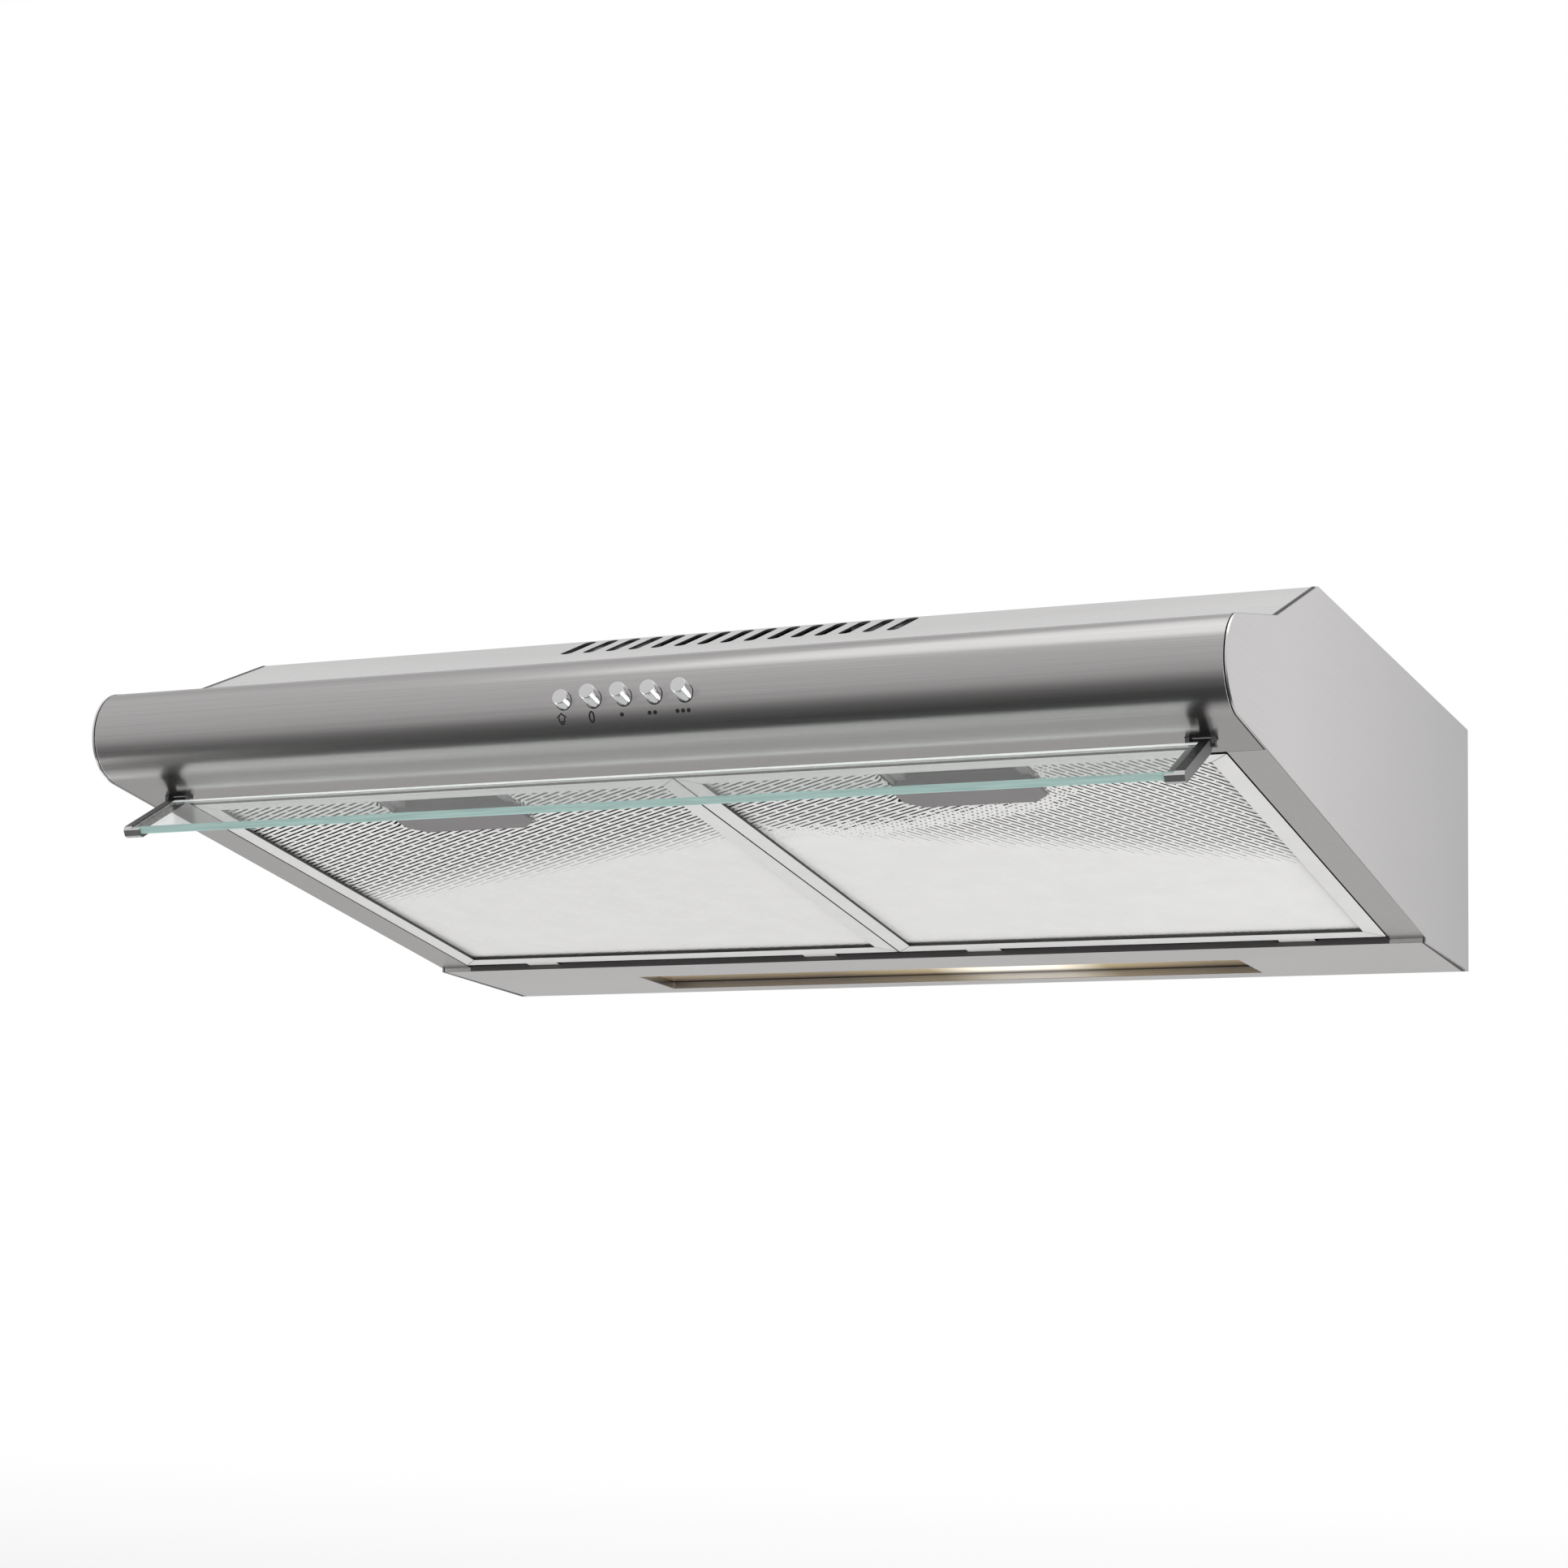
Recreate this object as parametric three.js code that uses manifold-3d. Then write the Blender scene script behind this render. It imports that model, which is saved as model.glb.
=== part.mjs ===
// Under-cabinet range hood: a folded stainless-steel body with a rounded front, two aluminium grease
// filters, a tilting glass visor, five push buttons, a lamp strip and a radial blower under the top.
//
// Millimetres, +Z up, the front faces -Y. The origin lies on the top face, at mid-width, on the rear
// line of fixing holes. Pieces that touch keep a gap of GAP between them.

import * as THREE from 'three';
import { mergeVertices } from 'three/addons/utils/BufferGeometryUtils.js';
import Module from 'manifold-3d';

const wasm = await Module();
wasm.setup();

// ---------------------------------------------------------------- driving dimensions

// Body
const WIDTH = 600;
const DEPTH = 465;
const HEIGHT = 138;
const SHEET = 1;                // thickness of every steel sheet
const GAP = 0.3;                // assembly gap between pieces that touch
const SIDE_SEAM = 0.7;          // open seam between the folded sheets and the side panels
const FIXING_SETBACK = 25;      // rear fixing holes, in front of the wall face
const TOP_DEPTH = 317;          // flat top, from the wall face to the front crease
const VENT_RUN = 69;            // sloped vent facet, front to back
const VENT_DROP = 32;
const NOSE_RADIUS = 24;
const NOSE_DROP = 69.5;         // nose centre below the top
const NOSE_TOP_ANGLE = 114.5;   // where the rounded nose starts, degrees from +Y
const STRIP_DEPTH = 100;        // flat lamp strip along the wall
const STRIP_STEP = 2.4;         // lamp strip below the filter plane
const STRIP_UPSTAND = 22;       // folded edge in front of the lamp strip
const FOLD = 15;                // width of the folded joining flanges
const LAP = 14;                 // front sheet under the top sheet
const SEAM = 2;                 // seam of the two, behind the start of the nose
const FIXING_HOLE_RADIUS = 3;
const FIXING_HALF_SPACING = 220;
const FIXING_ROW_SPACING = 200;
const KEYHOLE_RADIUS = 5;
const KEYHOLE_SLOT_RADIUS = 2.5;
const KEYHOLE_HALF_SPACING = 180;
const KEYHOLE_DROP = 30;

// Vent slots
const SLOT_COUNT = 15;
const SLOT_PITCH = 13.1;
const SLOT_WIDTH = 6.4;
const SLOT_LENGTH = 34.5;
const SLOT_TO_CREASE = 2;

// Filter bay and filters
const MOUTH_SETBACK = 64;       // front edge of the filter bay behind the foremost point
const MOUTH_UPSTAND = 12;
const SIDE_FLANGE = 19;         // sloped flange of each side panel, outer face to bay
const FILTER_GAP = 1;           // between a filter and the bay at its sides
const FILTER_FRONT_GAP = 3;
const FILTER_REAR_GAP = 5;
const FILTER_THICKNESS = 9;
const FILTER_BAND = 10;         // visible width of the filter's frame
const FILTER_WALL = 1.5;
const MESH_THICKNESS = 2.4;     // solid of about the mass of the foil layers
const TAB_WIDTH = 20;
const TAB_LENGTH = 8;
const TAB_THICKNESS = 2;
const TAB_HALF_SPACING = 90;
const TAB_CLEARANCE = 1.5;

// Filter latch
const LATCH_WIDTH = 74;
const LATCH_LENGTH = 23;
const LATCH_CHAMFER = 8;
const LATCH_PLATE = 1.4;
const LATCH_LIP = 4;            // rim in front of the finger recess
const LATCH_POCKET = 16;        // finger recess in front of the latch plate
const LATCH_TRAVEL = 5;
const BOLT_WIDTH = 5;
const BOLT_REACH = 2.5;         // bolt past the filter's front edge
const BOLT_CLEARANCE = 0.5;

// Push buttons
const BUTTON_RADIUS = 4;
const BUTTON_PITCH = 16.1;
const BUTTON_CENTRE_X = 4.5;
const BUTTON_REACH = 8.7;       // proud of the front when it is out
const BUTTON_TRAVEL = 3.7;
const BUTTON_TILT = 14;         // axis above the horizontal, degrees
const BUTTON_DROP = 70.7;       // where the axis leaves the front, below the top
const BUTTON_CLEARANCE = 0.35;
const BUTTON_EDGE = 0.8;
const BUTTON_NAMES = ['button_light', 'button_stop', 'button_speed_1', 'button_speed_2', 'button_speed_3'];
const SWITCH_SETBACK = 13;      // switch block behind the front
const SWITCH_DEPTH = 20;
const SWITCH_HEIGHT = 20;
const SWITCH_MARGIN = 14;

// Visor
const VISOR_TILT = 31;          // glass below the horizontal, degrees
const VISOR_GLASS = 4;
const VISOR_GLASS_DEPTH = 41;
const VISOR_PIVOT_SETBACK = 44.7;  // pivot behind the foremost point
const VISOR_PIVOT_DROP = 2.5;   // pivot below the underside
const VISOR_SEAT = 3.2;         // pivot to the glass's rear edge, along the glass
const VISOR_OFFSET = 0.2;       // middle of the glass under the pivot, square to the glass
const ARM_CENTRE_X = 275;
const ARM_WIDTH = 9.5;
const ARM_HUB_RADIUS = 2.2;
const ARM_SOLE = 1.5;           // arm under the glass
const ARM_GRIP = 4.5;             // glass on each arm's rebate
const EAR_THICKNESS = 2;
const EAR_CLEARANCE = 0.4;
const PIN_RADIUS = 1.2;
const PIN_CLEARANCE = 0.08;

// Lamp
const LAMP_HALF_LENGTH = 186;
const LAMP_OPENING = 47;
const LAMP_SETBACK = 15;        // opening in front of the wall face
const LAMP_RECESS = 4;
const LENS_THICKNESS = 2;
const LENS_MARGIN = 6;
const BULB_RADIUS = 12;
const BULB_LENGTH = 85;
const BULB_CENTRE_X = 45;
const BULB_CAP_RADIUS = 7;
const BULB_CAP_LENGTH = 20;
const REFLECTOR_HEIGHT = 33;

// Blower
const BLOWER_X = -150;          // impeller axis
const BLOWER_HEIGHT = 71;
const BLOWER_WALL = 2;
const SCROLL_START_RADIUS = 88;
const SCROLL_END_RADIUS = 115;
const CHAMBER_MARGIN = 4;       // outlet chamber wider than the outlet, each side
const CHAMBER_MARGIN_Y = 7;
const IMPELLER_RADIUS = 80;
const IMPELLER_EYE = 62;
const IMPELLER_TOP = 14;        // below the top face
const IMPELLER_HEIGHT = 50;
const IMPELLER_SHELL = 1.6;
const BLADE_COUNT = 30;
const MOTOR_RADIUS = 45;
const MOTOR_HEIGHT = 38;
const SHAFT_RADIUS = 4;
const INLET_RADIUS = 57;

// Duct outlet
const OUTLET_SETBACK = 150;     // outlet centre in front of the wall face
const OUTLET_RADIUS = 60;
const OUTLET_WALL = 1.5;
const COLLAR_HEIGHT = 28;
const COLLAR_FLANGE = 15;       // width of the collar's flange
const DAMPER_HEIGHT = 10;       // damper pivot above the top face
const DAMPER_THICKNESS = 1;
const SCREW_RADIUS = 1.7;
const SCREW_HEAD_RADIUS = 3.6;
const SCREW_INSET = 7;          // collar screws inside the flange's edge

// Electrical parts under the top
const TERMINAL_BOX = { x: 195, y: -90, width: 90, depth: 60, height: 30 };
const CAPACITOR = { x: 195, y: -165, radius: 14, length: 50 };
const GROMMET = { x: 195, y: -30, radius: 9 };
const CABLE_RADIUS = 2;

// Smoothness of round shapes
const FINE = 48;
const ROUND = 28;
const SMALL = 16;

// ---------------------------------------------------------------- places that follow from them

const DEG = Math.PI / 180;
const BACK_Y = FIXING_SETBACK;
const FRONT_Y = BACK_Y - DEPTH;
const CREASE_Y = BACK_Y - TOP_DEPTH;
const STRIP_Y = BACK_Y - STRIP_DEPTH;
const MOUTH_Y = FRONT_Y + MOUTH_SETBACK;
const OUTLET_Y = BACK_Y - OUTLET_SETBACK;
const FLANGE_RADIUS = OUTLET_RADIUS + COLLAR_FLANGE;
const SCREW_CIRCLE = FLANGE_RADIUS - SCREW_INSET;
const CHAMBER_HALF_WIDTH = OUTLET_RADIUS + CHAMBER_MARGIN;
const CHAMBER_DEPTH = 2 * (OUTLET_RADIUS + CHAMBER_MARGIN_Y);
const INSIDE_X = WIDTH / 2 - SHEET - SIDE_SEAM;       // sheets that run between the side panels
const MOUTH_X = WIDTH / 2 - SIDE_FLANGE;
const UNDER_TOP = -SHEET - GAP;                 // highest place under the top sheet

const valley = new THREE.Vector2(CREASE_Y - VENT_RUN, -VENT_DROP);
const noseCentre = new THREE.Vector2(FRONT_Y + NOSE_RADIUS, -NOSE_DROP);
const crown = nosePoint(NOSE_TOP_ANGLE);

// The underside runs straight from the lamp strip's edge and meets the nose as a tangent.
const strut = new THREE.Vector2(STRIP_Y, STRIP_STEP - HEIGHT).sub(noseCentre);
const SLOPE = strut.angle() - 2 * Math.PI + Math.asin(NOSE_RADIUS / strut.length());
const noseEnd = nosePoint(270 + SLOPE / DEG);

function nosePoint(angle) {
  const spoke = new THREE.Vector2(Math.cos(angle * DEG), Math.sin(angle * DEG));
  return spoke.multiplyScalar(NOSE_RADIUS).add(noseCentre);
}

function undersideZ(y) {
  return noseEnd.y + (y - noseEnd.x) * Math.tan(SLOPE);
}

// Frame of the filter plane: x as the body's, y down the slope to the rear, z square to it.
const bayMatrix = new THREE.Matrix4()
  .makeRotationX(SLOPE)
  .setPosition(0, MOUTH_Y, undersideZ(MOUTH_Y));
const BAY_LENGTH = (STRIP_Y - MOUTH_Y) / Math.cos(SLOPE);

// ---------------------------------------------------------------- shape helpers

function polygon(points) {
  return new THREE.Shape(points.map(([a, b]) => new THREE.Vector2(a, b)));
}

function rectangle(a0, a1, b0, b1) {
  return polygon([[a0, b0], [a1, b0], [a1, b1], [a0, b1]]);
}

function disc(radius, a = 0, b = 0) {
  return new THREE.Shape().absarc(a, b, radius, 0, 2 * Math.PI, false);
}

// Extrusions: the outline lies in the plane square to the named axis, as (Y, Z), (X, Z) or (X, Y).
function extrude(shape, depth, segments) {
  return new THREE.ExtrudeGeometry(shape, { depth, bevelEnabled: false, curveSegments: segments });
}

function alongX(shape, x0, x1, segments = SMALL) {
  const turn = new THREE.Matrix4().set(0, 0, 1, x0, 1, 0, 0, 0, 0, 1, 0, 0, 0, 0, 0, 1);
  return extrude(shape, x1 - x0, segments).applyMatrix4(turn);
}

function alongY(shape, y0, y1, segments = SMALL) {
  const turn = new THREE.Matrix4().set(1, 0, 0, 0, 0, 0, -1, y1, 0, 1, 0, 0, 0, 0, 0, 1);
  return extrude(shape, y1 - y0, segments).applyMatrix4(turn);
}

function alongZ(shape, z0, z1, segments = SMALL) {
  return extrude(shape, z1 - z0, segments).translate(0, 0, z0);
}

function box(x0, x1, y0, y1, z0, z1) {
  return new THREE.BoxGeometry(x1 - x0, y1 - y0, z1 - z0)
    .translate((x0 + x1) / 2, (y0 + y1) / 2, (z0 + z1) / 2);
}

function rodX(radius, x0, x1, y, z, segments = SMALL) {
  return alongX(disc(radius, y, z), x0, x1, segments / 2);
}

function rodY(radius, y0, y1, x, z, segments = SMALL) {
  return alongY(disc(radius, x, z), y0, y1, segments / 2);
}

function rodZ(radius, z0, z1, x, y, segments = SMALL) {
  return alongZ(disc(radius, x, y), z0, z1, segments / 2);
}

// A turned piece: the profile is (radius, height), and the axis is Z through (x, y).
function turned(profile, x, y, segments = FINE) {
  const points = profile.map(([r, z]) => new THREE.Vector2(r, z));
  return new THREE.LatheGeometry(points, segments).rotateX(Math.PI / 2).translate(x, y, 0);
}

function tube(inner, outer, z0, z1, x, y, segments = FINE) {
  const profile = [[inner, z0], [outer, z0], [outer, z1], [inner, z1], [inner, z0]];
  return turned(profile, x, y, segments);
}

// Outline of a folded sheet: the path is one face, and the sheet lies to the left of it.
function foldedSheet(path, thickness = SHEET) {
  const points = path.map((p) => (p.isVector2 ? p : new THREE.Vector2(p[0], p[1])));
  const other = points.map((point, i) => {
    const before = points[Math.max(i - 1, 0)];
    const after = points[Math.min(i + 1, points.length - 1)];
    const a = normal(i === 0 ? point : before, i === 0 ? after : point);
    const b = normal(i === points.length - 1 ? before : point, after.equals(point) ? point : after, a);
    const middle = a.clone().add(b).normalize();
    return middle.multiplyScalar(thickness / middle.dot(a)).add(point);
  });
  return new THREE.Shape([...points, ...other.reverse()]);
}

function normal(from, to, fallback) {
  if (from.equals(to)) return fallback;
  const along = to.clone().sub(from).normalize();
  return new THREE.Vector2(-along.y, along.x);
}

// ---------------------------------------------------------------- cutting and joining

function solid(geometry) {
  const bare = geometry.clone();
  bare.deleteAttribute('normal');
  bare.deleteAttribute('uv');
  const merged = mergeVertices(bare, 1e-4);
  const faces = [];
  for (let i = 0; i < merged.index.count; i += 3) {
    const [a, b, c] = [0, 1, 2].map((k) => merged.index.getX(i + k));
    if (a !== b && b !== c && c !== a) faces.push(a, b, c);
  }
  return new wasm.Manifold(new wasm.Mesh({
    numProp: 3,
    vertProperties: new Float32Array(merged.attributes.position.array),
    triVerts: new Uint32Array(faces),
  }));
}

function geometryOf(manifold) {
  const mesh = manifold.getMesh();
  const geometry = new THREE.BufferGeometry();
  geometry.setAttribute('position', new THREE.BufferAttribute(mesh.vertProperties, 3));
  geometry.setIndex(new THREE.BufferAttribute(mesh.triVerts, 1));
  return geometry;
}

function join(first, ...others) {
  return geometryOf(others.reduce((whole, piece) => whole.add(solid(piece)), solid(first)));
}

function cut(base, ...tools) {
  return geometryOf(tools.reduce((rest, tool) => rest.subtract(solid(tool)), solid(base)));
}

function common(first, second) {
  return geometryOf(solid(first).intersect(solid(second)));
}

function mirrored(geometry) {
  const copy = geometry.clone().scale(-1, 1, 1);
  const index = copy.index ?? new THREE.BufferAttribute(Uint32Array.from(
    { length: copy.attributes.position.count }, (_, i) => i), 1);
  for (let i = 0; i < index.count; i += 3) {
    const first = index.getX(i);
    index.setX(i, index.getX(i + 1));
    index.setX(i + 1, first);
  }
  copy.setIndex(index);
  copy.deleteAttribute('normal');
  return copy;
}

// ---------------------------------------------------------------- materials and assembly

const FINISHES = {
  steel: { color: 0xb9b6b4, roughness: 0.34, metalness: 1 },
  aluminium: { color: 0xd8d9d8, roughness: 0.4, metalness: 1 },
  galvanised: { color: 0x9fa3a6, roughness: 0.5, metalness: 1 },
  chrome: { color: 0xe6e6e8, roughness: 0.08, metalness: 1 },
  zincPlated: { color: 0xc4c2b8, roughness: 0.35, metalness: 1 },
  greyPlastic: { color: 0x7d7a7c, roughness: 0.55, metalness: 0 },
  darkPaint: { color: 0x3a3839, roughness: 0.42, metalness: 0.3 },
  blackPlastic: { color: 0x232325, roughness: 0.6, metalness: 0 },
  glass: { color: 0xbfe0d8, roughness: 0.03, metalness: 0, transparent: true, opacity: 0.45 },
  lens: { color: 0xe8cf96, roughness: 0.35, metalness: 0, emissive: 0xd0a860 },
  bulb: { color: 0xfff2d6, roughness: 0.1, metalness: 0, emissive: 0xffdf9c },
  rubber: { color: 0x1c1c1c, roughness: 0.85, metalness: 0 },
  cable: { color: 0xdcdcda, roughness: 0.6, metalness: 0 },
};

const hood = new THREE.Group();

function add(name, geometry, finish, parent = hood) {
  const mesh = new THREE.Mesh(geometry, new THREE.MeshStandardMaterial(FINISHES[finish]));
  mesh.name = name;
  parent.add(mesh);
  return mesh;
}

// ---------------------------------------------------------------- body sheets

function fixingPoints() {
  const rows = [0, -FIXING_ROW_SPACING];
  return rows.flatMap((y) => [[-FIXING_HALF_SPACING, y], [FIXING_HALF_SPACING, y]]);
}

function screwPoints() {
  return [45, 135, 225, 315].map((angle) => [
    SCREW_CIRCLE * Math.cos(angle * DEG),
    OUTLET_Y + SCREW_CIRCLE * Math.sin(angle * DEG),
  ]);
}

// Flat top, vent facet and the shallow facet that runs down to the nose, folded from one sheet.
function topPanel() {
  const lapEnd = crown.clone().add(facetDirection().multiplyScalar(SEAM + GAP));
  const path = [[BACK_Y, 0], [CREASE_Y, 0], valley, lapEnd];
  const sheet = alongX(foldedSheet(path), -INSIDE_X, INSIDE_X);
  const tools = [rodZ(OUTLET_RADIUS - 4, -5, 5, 0, OUTLET_Y, FINE)];
  tools.push(rodZ(GROMMET.radius - 2, -5, 5, GROMMET.x, GROMMET.y, ROUND));
  for (const [x, y] of fixingPoints()) tools.push(rodZ(FIXING_HOLE_RADIUS, -5, 5, x, y));
  for (const [x, y] of screwPoints()) tools.push(rodZ(SCREW_RADIUS + GAP, -5, 5, x, y));
  for (let i = 0; i < SLOT_COUNT; i += 1) tools.push(ventSlot((i - (SLOT_COUNT - 1) / 2) * SLOT_PITCH));
  return cut(sheet, ...tools);
}

// A round-ended slot standing through the vent facet, its length measured along the facet.
function ventSlot(x) {
  const facet = Math.atan2(VENT_DROP, VENT_RUN);
  const far = CREASE_Y - SLOT_TO_CREASE * Math.cos(facet);
  const near = far - SLOT_LENGTH * Math.cos(facet);
  const half = SLOT_WIDTH / 2;
  const outline = new THREE.Shape();
  outline.absarc(x, far - half, half, 0, Math.PI, false);
  outline.absarc(x, near + half, half, Math.PI, 2 * Math.PI, false);
  return alongZ(outline, -VENT_DROP, 2, 6);
}

// Unit vector up the shallow facet, from the crown of the nose to the valley.
function facetDirection() {
  return valley.clone().sub(crown).normalize();
}

// Rounded front: a lap under the top sheet, the nose, the underside and the edge of the filter bay.
function frontPanel() {
  const up = facetDirection();
  const down = new THREE.Vector2(up.y, -up.x).multiplyScalar(SHEET + GAP);
  const path = [
    crown.clone().add(up.clone().multiplyScalar(LAP)).add(down),
    crown.clone().add(up.clone().multiplyScalar(SEAM)).add(down),
    crown.clone().add(up.clone().multiplyScalar(SEAM - SHEET - GAP)),
  ];
  const steps = 18;
  for (let i = 0; i <= steps; i += 1) {
    path.push(nosePoint(NOSE_TOP_ANGLE + (270 + SLOPE / DEG - NOSE_TOP_ANGLE) * i / steps));
  }
  path.push([MOUTH_Y, undersideZ(MOUTH_Y)]);
  path.push([MOUTH_Y, undersideZ(MOUTH_Y) + MOUTH_UPSTAND]);
  const tools = [];
  for (const i of BUTTON_NAMES.keys()) {
    tools.push(rodY(BUTTON_RADIUS + BUTTON_CLEARANCE, -15, 12, buttonX(i), 0, ROUND).applyMatrix4(buttonMatrix));
  }
  for (const side of [-1, 1]) {
    for (const x of boltCentres()) tools.push(boltHole(side * x, -3, 3).applyMatrix4(bayMatrix));
    for (const ear of [-1, 1]) tools.push(earSlot(side * (ARM_CENTRE_X + ear * earOffset())));
  }
  return cut(alongX(foldedSheet(path), -INSIDE_X, INSIDE_X), ...tools);
}

// Pan-shaped side: the full outline, a flange under the top and a flange beside the filter.
function sidePanel() {
  const outline = new THREE.Shape();
  outline.moveTo(BACK_Y, 0);
  outline.lineTo(CREASE_Y, 0);
  outline.lineTo(valley.x, valley.y);
  outline.absarc(noseCentre.x, noseCentre.y, NOSE_RADIUS, NOSE_TOP_ANGLE * DEG, 1.5 * Math.PI + SLOPE, false);
  outline.lineTo(STRIP_Y, undersideZ(STRIP_Y));
  outline.lineTo(STRIP_Y, -HEIGHT);
  outline.lineTo(BACK_Y, -HEIGHT);
  const skin = alongX(outline, WIDTH / 2 - SHEET, WIDTH / 2, 18);
  const [front, rear] = [MOUTH_Y + GAP, STRIP_Y - GAP];
  const slope = foldedSheet([[front, undersideZ(front)], [rear, undersideZ(rear)]]);
  const lower = alongX(slope, MOUTH_X, WIDTH / 2 - SHEET / 2);
  const upper = box(WIDTH / 2 - FOLD, WIDTH / 2 - SHEET / 2, CREASE_Y + FOLD, BACK_Y - FOLD - 2,
    UNDER_TOP - SHEET, UNDER_TOP);
  return join(skin, lower, upper);
}

// Wall side: the lamp strip with its folded front edge, the back and a flange under the top.
function rearPanel() {
  const path = [
    [STRIP_Y, STRIP_UPSTAND - HEIGHT], [STRIP_Y, -HEIGHT], [BACK_Y, -HEIGHT],
    [BACK_Y, UNDER_TOP], [BACK_Y - FOLD, UNDER_TOP],
  ];
  const sheet = alongX(foldedSheet(path), -INSIDE_X, INSIDE_X);
  const { y0, y1 } = lampOpening();
  const half = LAMP_HALF_LENGTH;
  const lip = cut(
    box(-half - SHEET, half + SHEET, y0 - SHEET, y1 + SHEET, -HEIGHT, LAMP_RECESS - HEIGHT),
    box(-half, half, y0, y1, -HEIGHT - 1, LAMP_RECESS - HEIGHT + 1),
  );
  const tools = [box(-half, half, y0, y1, -HEIGHT - 2, LAMP_RECESS - HEIGHT - 0.5)];
  for (const side of [-1, 1]) {
    tools.push(keyhole(side * KEYHOLE_HALF_SPACING));
    for (const end of [-1, 1]) {
      const x = side * filterCentreX() + end * TAB_HALF_SPACING;
      const w = TAB_WIDTH / 2 + TAB_CLEARANCE;
      tools.push(box(x - w, x + w, BAY_LENGTH - 4, BAY_LENGTH + 4, -0.9, 4.5).applyMatrix4(bayMatrix));
    }
  }
  return cut(join(cut(sheet, tools[0]), lip), ...tools.slice(1));
}

function keyhole(x) {
  const outline = new THREE.Shape();
  const top = -KEYHOLE_DROP;
  const low = top - 12;
  const half = KEYHOLE_SLOT_RADIUS;
  const reach = Math.acos(half / KEYHOLE_RADIUS);
  outline.absarc(x, top, half, 0, Math.PI, false);
  outline.absarc(x, low, KEYHOLE_RADIUS, Math.PI - reach, reach, false);
  return alongY(outline, BACK_Y - 3, BACK_Y + 3, 6);
}

function lampOpening() {
  const y1 = BACK_Y - LAMP_SETBACK;
  return { y0: y1 - LAMP_OPENING, y1 };
}

// ---------------------------------------------------------------- filters and their latches

function filterSize() {
  const x0 = FILTER_GAP / 2;
  const x1 = MOUTH_X - FILTER_GAP;
  return { x0, x1, y0: FILTER_FRONT_GAP, y1: BAY_LENGTH - FILTER_REAR_GAP };
}

function filterCentreX() {
  const { x0, x1 } = filterSize();
  return (x0 + x1) / 2;
}

function boltHeights() {
  return { z0: FILTER_THICKNESS / 2 - 1, z1: FILTER_THICKNESS / 2 + 2 };
}

// The two bolts of the right filter's latch, one at each side of the finger recess.
function boltCentres() {
  const offset = (LATCH_WIDTH - BOLT_WIDTH) / 2 - FILTER_WALL - BOLT_CLEARANCE - GAP;
  return [-1, 1].map((end) => filterCentreX() + end * offset);
}

function boltHole(x, y0, y1) {
  const half = BOLT_WIDTH / 2 + BOLT_CLEARANCE;
  const { z0, z1 } = boltHeights();
  return box(x - half, x + half, y0, y1, z0 - BOLT_CLEARANCE, z1 + BOLT_CLEARANCE);
}

// Right filter's frame, a channel open to the inside, with two rear tabs. Bay coordinates.
function filterFrame() {
  const { x0, x1, y0, y1 } = filterSize();
  const x = filterCentreX();
  const whole = box(x0, x1, y0, y1, 0, FILTER_THICKNESS);
  const w = FILTER_WALL;
  const b = FILTER_BAND;
  const ring = cut(whole,
    box(x0 + b, x1 - b, y0 + b, y1 - b, -1, FILTER_THICKNESS + 1),
    box(x0 + w, x1 - w, y0 + w, y1 - w, w, FILTER_THICKNESS - w),
    ...boltCentres().map((middle) => boltHole(middle, y0 - 1, y0 + 2 * w)));
  const tabs = [-1, 1].map((end) => {
    const middle = x + end * TAB_HALF_SPACING;
    return box(middle - TAB_WIDTH / 2, middle + TAB_WIDTH / 2, y1 - w, y1 + TAB_LENGTH, GAP, GAP + TAB_THICKNESS);
  });
  return join(ring, ...tabs);
}

function housingSize() {
  const x = filterCentreX();
  const y0 = filterSize().y0 + FILTER_BAND + GAP;
  const z0 = LATCH_PLATE + 2 * GAP;
  return {
    x0: x - LATCH_WIDTH / 2, x1: x + LATCH_WIDTH / 2,
    y0, y1: y0 + LATCH_LIP + LATCH_POCKET + LATCH_LENGTH - LATCH_TRAVEL, z0, z1: FILTER_THICKNESS - GAP,
  };
}

// Mesh pack of the right filter, notched for the latch. It sits in the frame's channel.
function filterMesh() {
  const { x0, x1, y0, y1 } = filterSize();
  const low = LATCH_PLATE + 2 * GAP;
  const pocket = housingSize();
  const edge = FILTER_WALL + 2;
  const pack = box(x0 + edge, x1 - edge, y0 + edge, y1 - edge, low, low + MESH_THICKNESS);
  return cut(pack, box(pocket.x0 - GAP, pocket.x1 + GAP, y0, pocket.y1 + GAP, 0, FILTER_THICKNESS));
}

// Tray in the mesh's notch: the finger recess in front, the latch's slide behind.
function latchHousing() {
  const { x0, x1, y0, y1, z0, z1 } = housingSize();
  const w = FILTER_WALL;
  return cut(box(x0, x1, y0, y1, z0, z1),
    box(x0 + w, x1 - w, y0 + LATCH_LIP, y1 - w, z0 - 1, z1 - w),
    ...boltCentres().map((middle) => boltHole(middle, y0 - 1, y0 + LATCH_LIP + 1)));
}

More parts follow.
